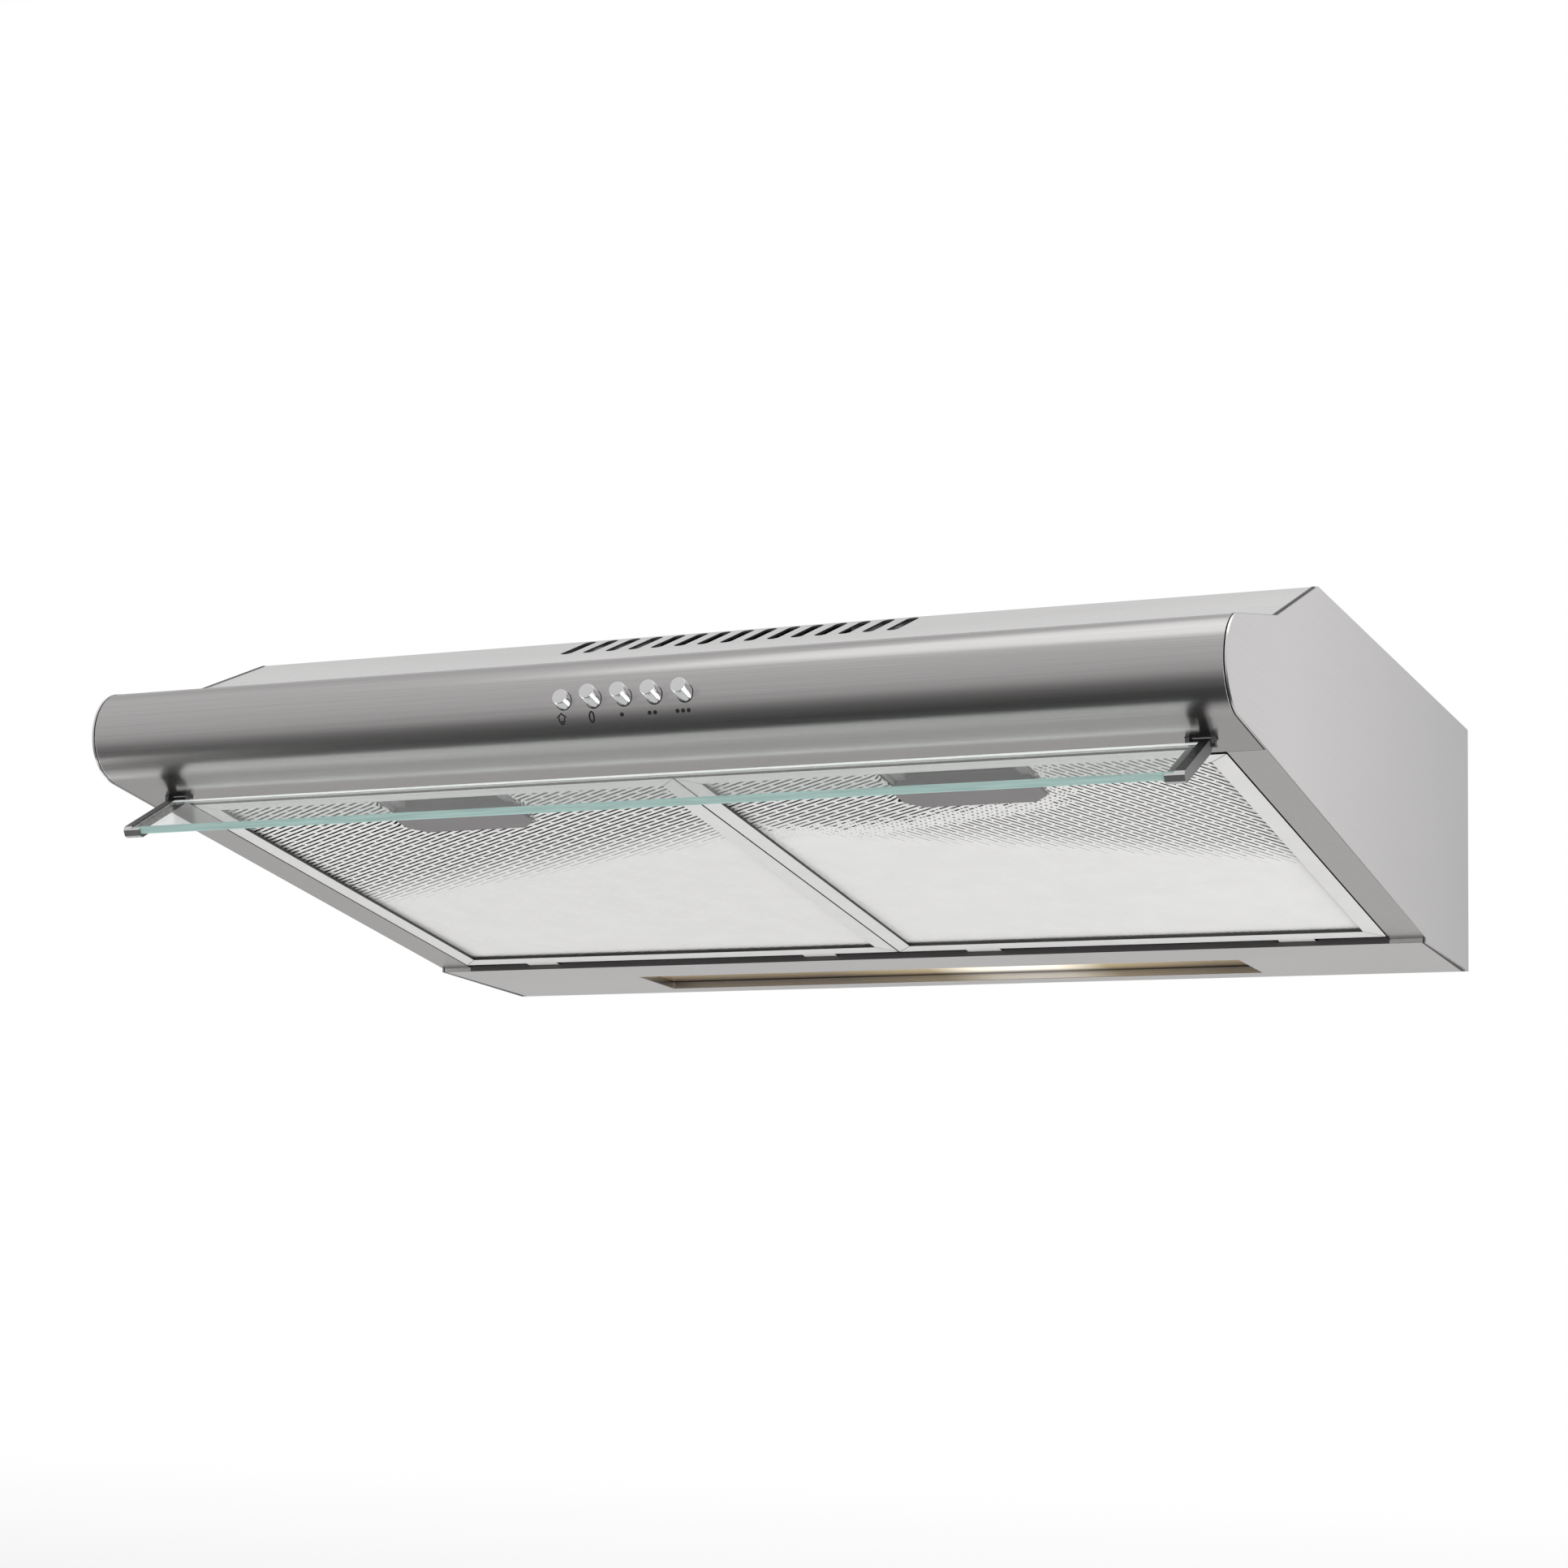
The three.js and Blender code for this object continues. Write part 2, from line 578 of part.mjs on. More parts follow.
// Latch of the right filter: a chamfered pull plate, a web and two bolts in one moulding.
function filterLatch() {
  const { x0, x1, y0 } = housingSize();
  const start = y0 + LATCH_LIP + LATCH_POCKET;
  const end = start + LATCH_LENGTH;
  const c = LATCH_CHAMFER;
  const outline = polygon([
    [x0, start], [x1, start], [x1, end - c], [x1 - c, end], [x0 + c, end], [x0, end - c],
  ]);
  const { z0, z1 } = boltHeights();
  const plate = alongZ(outline, GAP, GAP + LATCH_PLATE);
  const [left, right] = boltCentres();
  const half = BOLT_WIDTH / 2;
  const web = box(left - half, right + half, start, start + 3, LATCH_PLATE - 1, z1);
  const tip = filterSize().y0 - BOLT_REACH;
  const bolts = [left, right].map((x) => box(x - half, x + half, tip, start + 2, z0, z1));
  return join(plate, web, ...bolts);
}

// ---------------------------------------------------------------- buttons and their switch block

// Frame of the buttons: y runs inwards along their axes, from where they leave the front.
const buttonMatrix = new THREE.Matrix4()
  .makeRotationX(-BUTTON_TILT * DEG)
  .setPosition(0, noseCentre.x - Math.sqrt(NOSE_RADIUS ** 2 - (NOSE_DROP - BUTTON_DROP) ** 2), -BUTTON_DROP);

function buttonX(i) {
  return BUTTON_CENTRE_X + (i - (BUTTON_NAMES.length - 1) / 2) * BUTTON_PITCH;
}

// A button about its own axis, Z: a plunger with a rounded, slightly hollow head at +Z.
function pushButton() {
  const r = BUTTON_RADIUS;
  const e = BUTTON_EDGE;
  const back = BUTTON_REACH + SWITCH_SETBACK + BUTTON_TRAVEL + 2;
  const profile = [
    [0, -0.2], [r - 2 * e, 0], [r - 0.3 * e, -0.3 * e], [r, -e], [r, -back + 1], [r - 1, -back], [0, -back],
  ];
  return turned(profile.reverse(), 0, 0, ROUND);
}

function switchBlock() {
  const half = switchHalfWidth();
  const y0 = SWITCH_SETBACK;
  const y1 = y0 + SWITCH_DEPTH;
  const body = box(BUTTON_CENTRE_X - half, BUTTON_CENTRE_X + half, y0, y1, -SWITCH_HEIGHT / 2, SWITCH_HEIGHT / 2);
  const depth = BUTTON_TRAVEL * 2 + 6;
  const bores = BUTTON_NAMES.map((_, i) => rodY(BUTTON_RADIUS + BUTTON_CLEARANCE, y0 - 1, y0 + depth, buttonX(i), 0, ROUND));
  return cut(body, ...bores);
}

function switchHalfWidth() {
  return BUTTON_PITCH * (BUTTON_NAMES.length - 1) / 2 + SWITCH_MARGIN;
}

// Angle bracket behind the switch block, standing on the underside sheet.
function switchBracket() {
  const rear = SWITCH_SETBACK + SWITCH_DEPTH + GAP;
  const top = new THREE.Vector3(0, rear, SWITCH_HEIGHT / 2).applyMatrix4(buttonMatrix);
  const rise = new THREE.Vector2(Math.sin(BUTTON_TILT * DEG), Math.cos(BUTTON_TILT * DEG));
  const floor = (y) => undersideZ(y) + (SHEET + GAP) / Math.cos(SLOPE);
  const drop = (top.z - floor(top.y)) / rise.y;
  const corner = new THREE.Vector2(top.y, top.z).addScaledVector(rise, -drop);
  const foot = corner.x + 16;
  const path = [[foot, floor(foot)], [corner.x, floor(corner.x)], [top.y, top.z]].reverse();
  const half = switchHalfWidth() - 6;
  return alongX(foldedSheet(path), BUTTON_CENTRE_X - half, BUTTON_CENTRE_X + half);
}

// ---------------------------------------------------------------- visor

const pivot = {
  y: FRONT_Y + VISOR_PIVOT_SETBACK,
  z: undersideZ(FRONT_Y + VISOR_PIVOT_SETBACK) - VISOR_PIVOT_DROP,
};

// Frame of the visor about its pivot: -y runs down the glass to its front edge, z square to it.
const visorMatrix = new THREE.Matrix4()
  .makeRotationX(VISOR_TILT * DEG)
  .setPosition(0, pivot.y, pivot.z);

// Middle of a bracket's ear, from the middle of its arm.
function earOffset() {
  return ARM_WIDTH / 2 + GAP + EAR_THICKNESS / 2;
}

// Opening in the underside for one ear of a bracket.
function earSlot(x) {
  const half = EAR_THICKNESS / 2 + EAR_CLEARANCE;
  const reach = ARM_HUB_RADIUS + EAR_CLEARANCE;
  return box(x - half, x + half, pivot.y - reach, pivot.y + reach, pivot.z, pivot.z + 10);
}

// Arm of the right side: a hub on the pivot pin and a bar with a rebate for the glass.
function visorArm() {
  const tip = VISOR_SEAT + VISOR_GLASS_DEPTH + 1;
  const high = VISOR_GLASS / 2 - VISOR_OFFSET + GAP;
  const low = -VISOR_GLASS / 2 - VISOR_OFFSET - GAP - ARM_SOLE;
  const outline = new THREE.Shape();
  outline.moveTo(-1, high);
  outline.lineTo(-tip + 1.5, high);
  outline.lineTo(-tip, high - 1.5);
  outline.lineTo(-tip, low + 1.5);
  outline.lineTo(-tip + 1.5, low);
  outline.lineTo(-3, low);
  outline.absarc(0, 0, ARM_HUB_RADIUS, -1.1, 1.8, false);
  const x0 = ARM_CENTRE_X - ARM_WIDTH / 2;
  const rebate = box(x0 - 1, x0 + ARM_GRIP + GAP, -tip + 1 - GAP, -VISOR_SEAT + GAP, low + ARM_SOLE, high + 1);
  return cut(alongX(outline, x0, x0 + ARM_WIDTH, 12), rebate,
    rodX(PIN_RADIUS + PIN_CLEARANCE, x0 - 1, x0 + ARM_WIDTH + 1, 0, 0));
}

function visorGlass() {
  const half = ARM_CENTRE_X - ARM_WIDTH / 2 + ARM_GRIP;
  const c = 0.5;
  const [y0, y1] = [-VISOR_SEAT - VISOR_GLASS_DEPTH, -VISOR_SEAT];
  const z0 = -VISOR_OFFSET - VISOR_GLASS / 2;
  const z1 = z0 + VISOR_GLASS;
  const section = polygon([
    [y0 + c, z0], [y1 - c, z0], [y1, z0 + c], [y1, z1 - c], [y1 - c, z1], [y0 + c, z1], [y0, z1 - c], [y0, z0 + c],
  ]);
  return alongX(section, -half, half);
}

// Bracket of the right arm: a base on the underside sheet and two ears that reach down through it.
function visorBracket() {
  const inner = ARM_WIDTH / 2 + GAP;
  const outer = inner + EAR_THICKNESS;
  const face = (y, rise) => [y, undersideZ(y) + (SHEET + GAP + rise) / Math.cos(SLOPE)];
  const [front, rear] = [pivot.y - 12, pivot.y + 14];
  const base = polygon([face(front, 0), face(rear, 0), face(rear, 1.5), face(front, 1.5)]);
  const ear = new THREE.Shape();
  ear.moveTo(...face(pivot.y + ARM_HUB_RADIUS, 0.8));
  ear.lineTo(...face(pivot.y - ARM_HUB_RADIUS, 0.8));
  ear.absarc(pivot.y, pivot.z, ARM_HUB_RADIUS, Math.PI, 2 * Math.PI, false);
  const x = ARM_CENTRE_X;
  return cut(
    join(
      alongX(base, x - outer, x + outer),
      alongX(ear, x - outer, x - inner, 10),
      alongX(ear, x + inner, x + outer, 10),
    ),
    rodX(PIN_RADIUS + PIN_CLEARANCE, x - outer - 1, x + outer + 1, pivot.y, pivot.z),
  );
}

function visorPin() {
  const half = earOffset() + EAR_THICKNESS / 2 + 0.5;
  return rodX(PIN_RADIUS, ARM_CENTRE_X - half, ARM_CENTRE_X + half, pivot.y, pivot.z);
}

// ---------------------------------------------------------------- lamp

function lensPlate() {
  const { y0, y1 } = lampOpening();
  const half = LAMP_HALF_LENGTH + LENS_MARGIN;
  const z0 = LAMP_RECESS + GAP - HEIGHT;
  return box(-half, half, y0 - LENS_MARGIN, y1 + LENS_MARGIN, z0, z0 + LENS_THICKNESS);
}

function reflectorFloor() {
  return LAMP_RECESS + 2 * GAP + LENS_THICKNESS - HEIGHT;
}

function reflector() {
  const { y0, y1 } = lampOpening();
  const low = reflectorFloor();
  const high = low + REFLECTOR_HEIGHT;
  const path = [[y0 - 5, low], [y0 + 3, high], [y1 - 3, high], [y1 + 5, low]];
  return alongX(foldedSheet(path), -LAMP_HALF_LENGTH, LAMP_HALF_LENGTH);
}

const bulbAxis = {
  y: (lampOpening().y0 + lampOpening().y1) / 2,
  z: reflectorFloor() + REFLECTOR_HEIGHT / 2,
};
const BULB_END_X = BULB_CENTRE_X + BULB_LENGTH / 2;

// Turned about Z, then laid along X with its cap at the far end.
function laidAlongX(geometry, x) {
  return geometry.rotateY(Math.PI / 2).translate(x, bulbAxis.y, bulbAxis.z);
}

function bulb() {
  const r = BULB_RADIUS;
  const cap = BULB_CAP_RADIUS;
  const profile = [[0, 0], [r * 0.5, 0.6], [r * 0.85, 3.5], [r, 8], [r, BULB_LENGTH - 12],
    [cap, BULB_LENGTH - 2], [cap, BULB_LENGTH + BULB_CAP_LENGTH - 2], [3, BULB_LENGTH + BULB_CAP_LENGTH],
    [0, BULB_LENGTH + BULB_CAP_LENGTH]];
  return laidAlongX(turned(profile, 0, 0, ROUND), BULB_END_X - BULB_LENGTH);
}

function bulbHolder() {
  const bore = BULB_CAP_RADIUS + GAP;
  const r = bore + 3;
  const length = BULB_CAP_LENGTH + 14;
  const cup = laidAlongX(turned([[bore, 0], [r, 0], [r, length], [0, length],
    [0, BULB_CAP_LENGTH + 1], [bore, BULB_CAP_LENGTH + 1], [bore, 0]], 0, 0, ROUND), BULB_END_X);
  const top = reflectorFloor() + REFLECTOR_HEIGHT - GAP;
  const foot = box(BULB_END_X + 12, BULB_END_X + length - 2, bulbAxis.y - 6, bulbAxis.y + 6,
    bulbAxis.z + bore + 1, top);
  return join(cup, foot);
}

// ---------------------------------------------------------------- blower

const blower = { x: BLOWER_X, y: OUTLET_Y + CHAMBER_DEPTH / 2 - SCROLL_END_RADIUS };

// Plan of the casing: a spiral that widens clockwise and runs straight into the outlet chamber.
function casingPlan(inset) {
  const chamber = {
    x: CHAMBER_HALF_WIDTH - inset,
    y0: OUTLET_Y - CHAMBER_DEPTH / 2 + inset,
    y1: OUTLET_Y + CHAMBER_DEPTH / 2 - inset,
  };
  const tongue = Math.atan2(blower.y - (OUTLET_Y - CHAMBER_DEPTH / 2), -CHAMBER_HALF_WIDTH - blower.x);
  const points = [];
  const steps = 36;
  for (let i = 0; i <= steps; i += 1) {
    const share = i / steps;
    const angle = tongue + (1.5 * Math.PI - tongue) * share;
    const r = SCROLL_START_RADIUS + (SCROLL_END_RADIUS - SCROLL_START_RADIUS) * share - inset;
    points.push([blower.x + r * Math.cos(angle), blower.y - r * Math.sin(angle)]);
  }
  points.push([chamber.x, chamber.y1], [chamber.x, chamber.y0]);
  return polygon(points);
}

const CASING_BOTTOM = UNDER_TOP - BLOWER_HEIGHT;
const CHAMBER_FRONT_Y = OUTLET_Y - CHAMBER_DEPTH / 2;
const WINDOW = { halfWidth: 50, top: -8, bottom: -32 };
const MOTOR_CABLE_Z = -8.6;
const diverter = { y: CHAMBER_FRONT_Y + BLOWER_WALL + 5, z: CASING_BOTTOM + 7, radius: 3 };

function blowerCasing() {
  const shell = cut(
    alongZ(casingPlan(0), CASING_BOTTOM, UNDER_TOP),
    alongZ(casingPlan(BLOWER_WALL), CASING_BOTTOM - 1, UNDER_TOP - BLOWER_WALL),
  );
  const { halfWidth, top, bottom } = WINDOW;
  const screws = screwPoints().map(([x, y]) => rodZ(SCREW_RADIUS + GAP, -8, 0, x, y));
  return cut(shell,
    rodZ(OUTLET_RADIUS - 4, -8, 2, 0, OUTLET_Y, FINE),
    box(-halfWidth, halfWidth, CHAMBER_FRONT_Y - 3, CHAMBER_FRONT_Y + 3, bottom, top),
    rodX(diverter.radius + 2 * GAP, CHAMBER_HALF_WIDTH - 4, CHAMBER_HALF_WIDTH + 2, diverter.y, diverter.z),
    rodY(CABLE_RADIUS + 1, OUTLET_Y, BACK_Y, blower.x, MOTOR_CABLE_Z),
    ...screws);
}

// Floor of the casing with a rolled inlet that reaches into the eye of the impeller.
function blowerCover() {
  const top = CASING_BOTTOM - GAP;
  const plate = alongZ(casingPlan(0), top - BLOWER_WALL, top);
  const ring = tube(INLET_RADIUS, INLET_RADIUS + BLOWER_WALL, top - BLOWER_WALL, top + 10, blower.x, blower.y);
  return join(cut(plate, rodZ(INLET_RADIUS + 1, top - 5, top + 5, blower.x, blower.y, FINE)), ring);
}

// Finger guard across the inlet: rings on six spokes.
function inletGuard() {
  const top = CASING_BOTTOM - 2 * GAP - BLOWER_WALL;
  const bar = 2;
  const rings = [14, 27, 40, INLET_RADIUS].map((r) => tube(r - bar / 2, r + bar / 2, top - bar, top, blower.x, blower.y, ROUND));
  const spokes = [0, 60, 120].map((angle) => box(-INLET_RADIUS, INLET_RADIUS, -bar / 2, bar / 2, top - bar, top)
    .rotateZ(angle * DEG).translate(blower.x, blower.y, 0));
  return join(...rings, ...spokes);
}

// Impeller: a cup around the motor, a rim that carries forward-curved blades and a lower ring.
function impeller() {
  const top = -IMPELLER_TOP;
  const low = top - IMPELLER_HEIGHT;
  const t = IMPELLER_SHELL;
  const cup = MOTOR_RADIUS + 7;
  const floor = hubFloor();
  const bore = SHAFT_RADIUS + GAP;
  const body = turned([
    [bore, floor - 12], [12, floor - 12], [14, floor - t], [cup, floor - t], [IMPELLER_EYE - 4, top - t],
    [IMPELLER_RADIUS, top - t], [IMPELLER_RADIUS, top], [IMPELLER_EYE - 5, top], [cup - t, floor],
    [bore, floor], [bore, floor - 12],
  ], blower.x, blower.y);
  const ring = tube(IMPELLER_RADIUS - 3, IMPELLER_RADIUS, low, low + 3, blower.x, blower.y);
  const blades = Array.from({ length: BLADE_COUNT }, (_, i) => blade(low, top - t / 2)
    .rotateZ(i * 2 * Math.PI / BLADE_COUNT).translate(blower.x, blower.y, 0));
  return join(body, ring, ...blades);
}

function hubFloor() {
  return UNDER_TOP - BLOWER_WALL - GAP - 1.5 - GAP - MOTOR_HEIGHT - 3;
}

// One curved blade between the eye and the rim, standing from z0 to z1.
function blade(z0, z1) {
  const t = IMPELLER_SHELL;
  const depth = IMPELLER_RADIUS - IMPELLER_EYE;
  const outline = polygon([
    [IMPELLER_EYE, -t / 2], [IMPELLER_EYE + depth / 2, 1], [IMPELLER_RADIUS - 0.5, 6],
    [IMPELLER_RADIUS - 1, 6 + t], [IMPELLER_EYE + depth / 2 - 0.5, 1 + t], [IMPELLER_EYE, t / 2],
  ]);
  return alongZ(outline, z0, z1);
}

function motorPlate() {
  const top = UNDER_TOP - BLOWER_WALL - GAP;
  return tube(SHAFT_RADIUS + 8, MOTOR_RADIUS + 5, top - 1.5, top, blower.x, blower.y, ROUND);
}

function motorBody() {
  const top = UNDER_TOP - BLOWER_WALL - 2 * GAP - 1.5;
  const low = top - MOTOR_HEIGHT;
  const r = MOTOR_RADIUS;
  const bore = SHAFT_RADIUS + GAP;
  const can = turned([[0, top - 6], [bore, top - 6], [bore, low], [11, low], [12, low + 4], [r - 6, low + 4],
    [r - 3, low + 7], [r - 3, top - 14], [r, top - 14], [r, top], [0, top]], blower.x, blower.y, ROUND);
  return can;
}

function motorShaft() {
  const top = UNDER_TOP - BLOWER_WALL - 2 * GAP - 1.5 - 6 - GAP;
  return rodZ(SHAFT_RADIUS, hubFloor() - 18, top, blower.x, blower.y, ROUND);
}

function impellerNut() {
  const top = hubFloor() - 12 - GAP;
  const hexagon = new THREE.Shape(Array.from({ length: 6 }, (_, i) => new THREE.Vector2(
    blower.x + 7.5 * Math.cos(i * Math.PI / 3), blower.y + 7.5 * Math.sin(i * Math.PI / 3))));
  return cut(alongZ(hexagon, top - 5, top),
    rodZ(SHAFT_RADIUS + GAP, top - 6, top + 1, blower.x, blower.y, ROUND));
}

// Flap behind the window of the outlet chamber, with its spindle and an outside lever.
function diverterFlap() {
  const { y, z, radius } = diverter;
  const half = CHAMBER_HALF_WIDTH - BLOWER_WALL - 2;
  const leverX = CHAMBER_HALF_WIDTH + 1;
  const plate = box(-half, half, y - 1, y + 1, z, WINDOW.top + 2);
  const spindle = rodX(radius, -half, leverX + 3, y, z);
  const lever = box(leverX, leverX + 3, y - 4, y + 4, z - 24, z + 3);
  return join(plate, spindle, lever);
}

// Open-topped duct from the chamber's window, widening past the scroll to the vent slots.
function ventDuct() {
  const wall = 1.5;
  const throat = WINDOW.halfWidth + 6;
  const mouth = SLOT_PITCH * SLOT_COUNT / 2 + 4;
  const rear = CHAMBER_FRONT_Y - GAP;
  const bend = blower.y - SCROLL_END_RADIUS;
  const front = CREASE_Y - SLOT_LENGTH - 6;
  const floor = WINDOW.bottom - 4;
  const slant = VENT_DROP / VENT_RUN;
  const under = (SHEET + GAP) * Math.hypot(1, slant);
  const section = polygon([
    [rear, UNDER_TOP], [CREASE_Y + 1, UNDER_TOP], [front, (front - CREASE_Y) * slant - under - GAP],
    [front, floor], [rear, floor],
  ]);
  const plan = (inset) => {
    const [a, b] = [throat - inset, mouth - inset];
    const [y0, y1, y2, y3] = [rear - inset, bend, bend + (CREASE_Y - bend) * 0.8, front + inset];
    return polygon([[-a, y0], [-a, y1], [-b, y2], [-b, y3], [b, y3], [b, y2], [a, y1], [a, y0]]);
  };
  const { halfWidth, top, bottom } = WINDOW;
  return cut(common(alongX(section, -mouth, mouth), alongZ(plan(0), floor, 0)),
    alongZ(plan(wall), floor + wall, 5),
    box(-halfWidth, halfWidth, rear - 5, rear + 5, bottom, top));
}

// ---------------------------------------------------------------- duct outlet

function outletCollar() {
  const r = OUTLET_RADIUS;
  const inner = r - OUTLET_WALL;
  const ledge = DAMPER_HEIGHT - DAMPER_THICKNESS / 2 - GAP;
  const body = turned([
    [inner, GAP], [FLANGE_RADIUS, GAP], [FLANGE_RADIUS, GAP + OUTLET_WALL], [r, GAP + OUTLET_WALL],
    [r, COLLAR_HEIGHT], [inner, COLLAR_HEIGHT], [inner, ledge], [inner - 2.5, ledge],
    [inner - 2.5, ledge - 1.5], [inner, ledge - 1.5], [inner, GAP],
  ], 0, OUTLET_Y);
  const screws = screwPoints().map(([x, y]) => rodZ(SCREW_RADIUS + GAP, -2, 4, x, y));
  return cut(body, rodX(PIN_RADIUS + PIN_CLEARANCE, -r - 2, r + 2, OUTLET_Y, DAMPER_HEIGHT), ...screws);
}

// Rear half of the butterfly damper, with two knuckles on the pin. The front half is turned round.
function damperFlap(knuckleX) {
  const t = DAMPER_THICKNESS;
  const r = OUTLET_RADIUS - OUTLET_WALL - 1;
  const start = PIN_RADIUS + 2.2;
  const from = Math.asin(start / r);
  const half = new THREE.Shape().absarc(0, 0, r, from, Math.PI - from, false);
  const plate = alongZ(half, -t / 2, t / 2, ROUND);
  const knuckles = [-1, 1].map((side) => rodX(PIN_RADIUS + 1.5, side * knuckleX - 4, side * knuckleX + 4, 0, 0));
  const webs = [-1, 1].map((side) => box(side * knuckleX - 4, side * knuckleX + 4, 1, start + 1, -t / 2, t / 2));
  const bore = rodX(PIN_RADIUS + PIN_CLEARANCE, -r, r, 0, 0);
  return cut(join(plate, ...knuckles, ...webs), bore);
}

function collarScrew(x, y) {
  const head = GAP * 2 + OUTLET_WALL;
  const profile = [[0, -5], [SCREW_RADIUS, -5], [SCREW_RADIUS, head], [SCREW_HEAD_RADIUS, head],
    [SCREW_HEAD_RADIUS, head + 1.2], [SCREW_HEAD_RADIUS - 1.2, head + 2.2], [0, head + 2.2]];
  return turned(profile, x, y, SMALL);
}

// ---------------------------------------------------------------- electrical parts

function terminalBox() {
  const { x, y, width, depth, height } = TERMINAL_BOX;
  const w = 2;
  return cut(
    box(x - width / 2, x + width / 2, y - depth / 2, y + depth / 2, UNDER_TOP - height, UNDER_TOP),
    box(x - width / 2 + w, x + width / 2 - w, y - depth / 2 + w, y + depth / 2 - w, UNDER_TOP - height - 1, UNDER_TOP - w),
  );
}

function terminalCover() {
  const { x, y, width, depth, height } = TERMINAL_BOX;
  const top = UNDER_TOP - height - GAP;
  const lip = 2 + GAP;
  return join(
    box(x - width / 2, x + width / 2, y - depth / 2, y + depth / 2, top - 2, top),
    box(x - width / 2 + lip, x + width / 2 - lip, y - depth / 2 + lip, y + depth / 2 - lip, top - 1, top + 4),
  );
}

function cableGrommet() {
  const { x, y, radius } = GROMMET;
  const neck = radius - 2 - GAP;
  const low = UNDER_TOP;
  return turned([[neck - 3, low - 3], [radius, low - 3], [radius, low], [neck, low], [neck, GAP], [radius, GAP],
    [radius - 1, 1.6], [neck - 3, 1.6], [neck - 3, low - 3]], x, y, ROUND);
}

function capacitorAxis() {
  return UNDER_TOP - CAPACITOR.radius - 3;
}

function capacitor() {
  const { x, y, radius, length } = CAPACITOR;
  return rodX(radius, x - length / 2, x + length / 2, y, capacitorAxis(), ROUND);
}

// Strap round the capacitor, with one foot each side under the top.
function capacitorClip() {
  const { x, y, radius } = CAPACITOR;
  const inner = radius + GAP;
  const outer = inner + 1.2;
  const z = capacitorAxis();
  const foot = UNDER_TOP - 1.2;
  const outline = new THREE.Shape();
  outline.moveTo(y - outer - 9, UNDER_TOP);
  outline.lineTo(y - outer - 9, foot);
  outline.lineTo(y - outer, foot);
  outline.absarc(y, z, outer, Math.PI, 2 * Math.PI, false);
  outline.lineTo(y + outer, foot);
  outline.lineTo(y + outer + 9, foot);
  outline.lineTo(y + outer + 9, UNDER_TOP);
  outline.lineTo(y + inner, UNDER_TOP);
  outline.absarc(y, z, inner, 2 * Math.PI, Math.PI, true);
  outline.lineTo(y - inner, UNDER_TOP);
  return alongX(outline, x - 6, x + 6, 12);
}

// A clipped lead: an eight-sided tube along a smooth curve through the given points.
function lead(points, steps) {
  const path = new THREE.CatmullRomCurve3(points.map((p) => new THREE.Vector3(...p)));
  return new THREE.ExtrudeGeometry(disc(CABLE_RADIUS), { extrudePath: path, steps, curveSegments: 4 });
}

function switchLead() {
  const end = TERMINAL_BOX.y - TERMINAL_BOX.depth / 2 - GAP;
  const start = new THREE.Vector3(BUTTON_CENTRE_X + switchHalfWidth() + GAP, SWITCH_SETBACK + 10, 0)
    .applyMatrix4(buttonMatrix);
  return lead([
    [start.x, start.y, start.z], [start.x + 20, start.y, start.z], [start.x + 80, MOUTH_Y, -64],
    [TERMINAL_BOX.x - 30, CREASE_Y, -40], [TERMINAL_BOX.x + 30, CAPACITOR.y - 60, -20],
    [TERMINAL_BOX.x + 30, end - 14, -17], [TERMINAL_BOX.x + 30, end, -17],
  ], 40);
}

function lampLead() {
  const start = TERMINAL_BOX.y + TERMINAL_BOX.depth / 2 + GAP;
  const x = LAMP_HALF_LENGTH + 24;
  const { y, z } = bulbAxis;
  const end = BULB_END_X + BULB_CAP_LENGTH + 14 + GAP;
  return lead([
    [x + 10, start, -17], [x + 10, start + 12, -17], [x + 6, y - 4, -58], [x, y, z + 12],
    [x - 16, y, z], [end + 20, y, z], [end, y, z],
  ], 40);
}

function motorLead() {
  const start = TERMINAL_BOX.x - TERMINAL_BOX.width / 2 - GAP;
  const rear = OUTLET_Y + CHAMBER_DEPTH / 2;
  const end = blower.y + MOTOR_RADIUS + GAP;
  return lead([
    [start, TERMINAL_BOX.y, -14], [start - 16, TERMINAL_BOX.y, -14], [CHAMBER_HALF_WIDTH + 14, rear + 10, -12],
    [0, rear + 14, -10], [blower.x + 34, rear + 14, -9], [blower.x + 4, rear + 8, MOTOR_CABLE_Z],
    [blower.x, rear - 6, MOTOR_CABLE_Z], [blower.x, end + 12, MOTOR_CABLE_Z], [blower.x, end, MOTOR_CABLE_Z],
  ], 48);
}

// ---------------------------------------------------------------- the assembly

add('top_panel', topPanel(), 'steel');
add('front_panel', frontPanel(), 'steel');
add('rear_panel', rearPanel(), 'steel');
add('right_side_panel', sidePanel(), 'steel');
add('left_side_panel', mirrored(sidePanel()), 'steel');

const bay = new THREE.Group();
bay.applyMatrix4(bayMatrix);
hood.add(bay);
for (const [side, place] of [['right', (g) => g], ['left', mirrored]]) {
  add(`${side}_filter_frame`, place(filterFrame()), 'aluminium', bay);
  add(`${side}_filter_mesh`, place(filterMesh()), 'aluminium', bay);
  add(`${side}_latch_housing`, place(latchHousing()), 'greyPlastic', bay);
  add(`${side}_latch`, place(filterLatch()), 'greyPlastic', bay);
}

const buttons = new THREE.Group();
buttons.applyMatrix4(buttonMatrix);
hood.add(buttons);
BUTTON_NAMES.forEach((name, i) => {
  const pressed = name === 'button_light' ? BUTTON_TRAVEL : 0;
  const button = add(name, pushButton(), 'chrome', buttons);
  button.position.set(buttonX(i), pressed - BUTTON_REACH, 0);
  button.rotation.x = Math.PI / 2;
});
add('switch_block', switchBlock(), 'blackPlastic', buttons);
add('switch_bracket', switchBracket(), 'galvanised');

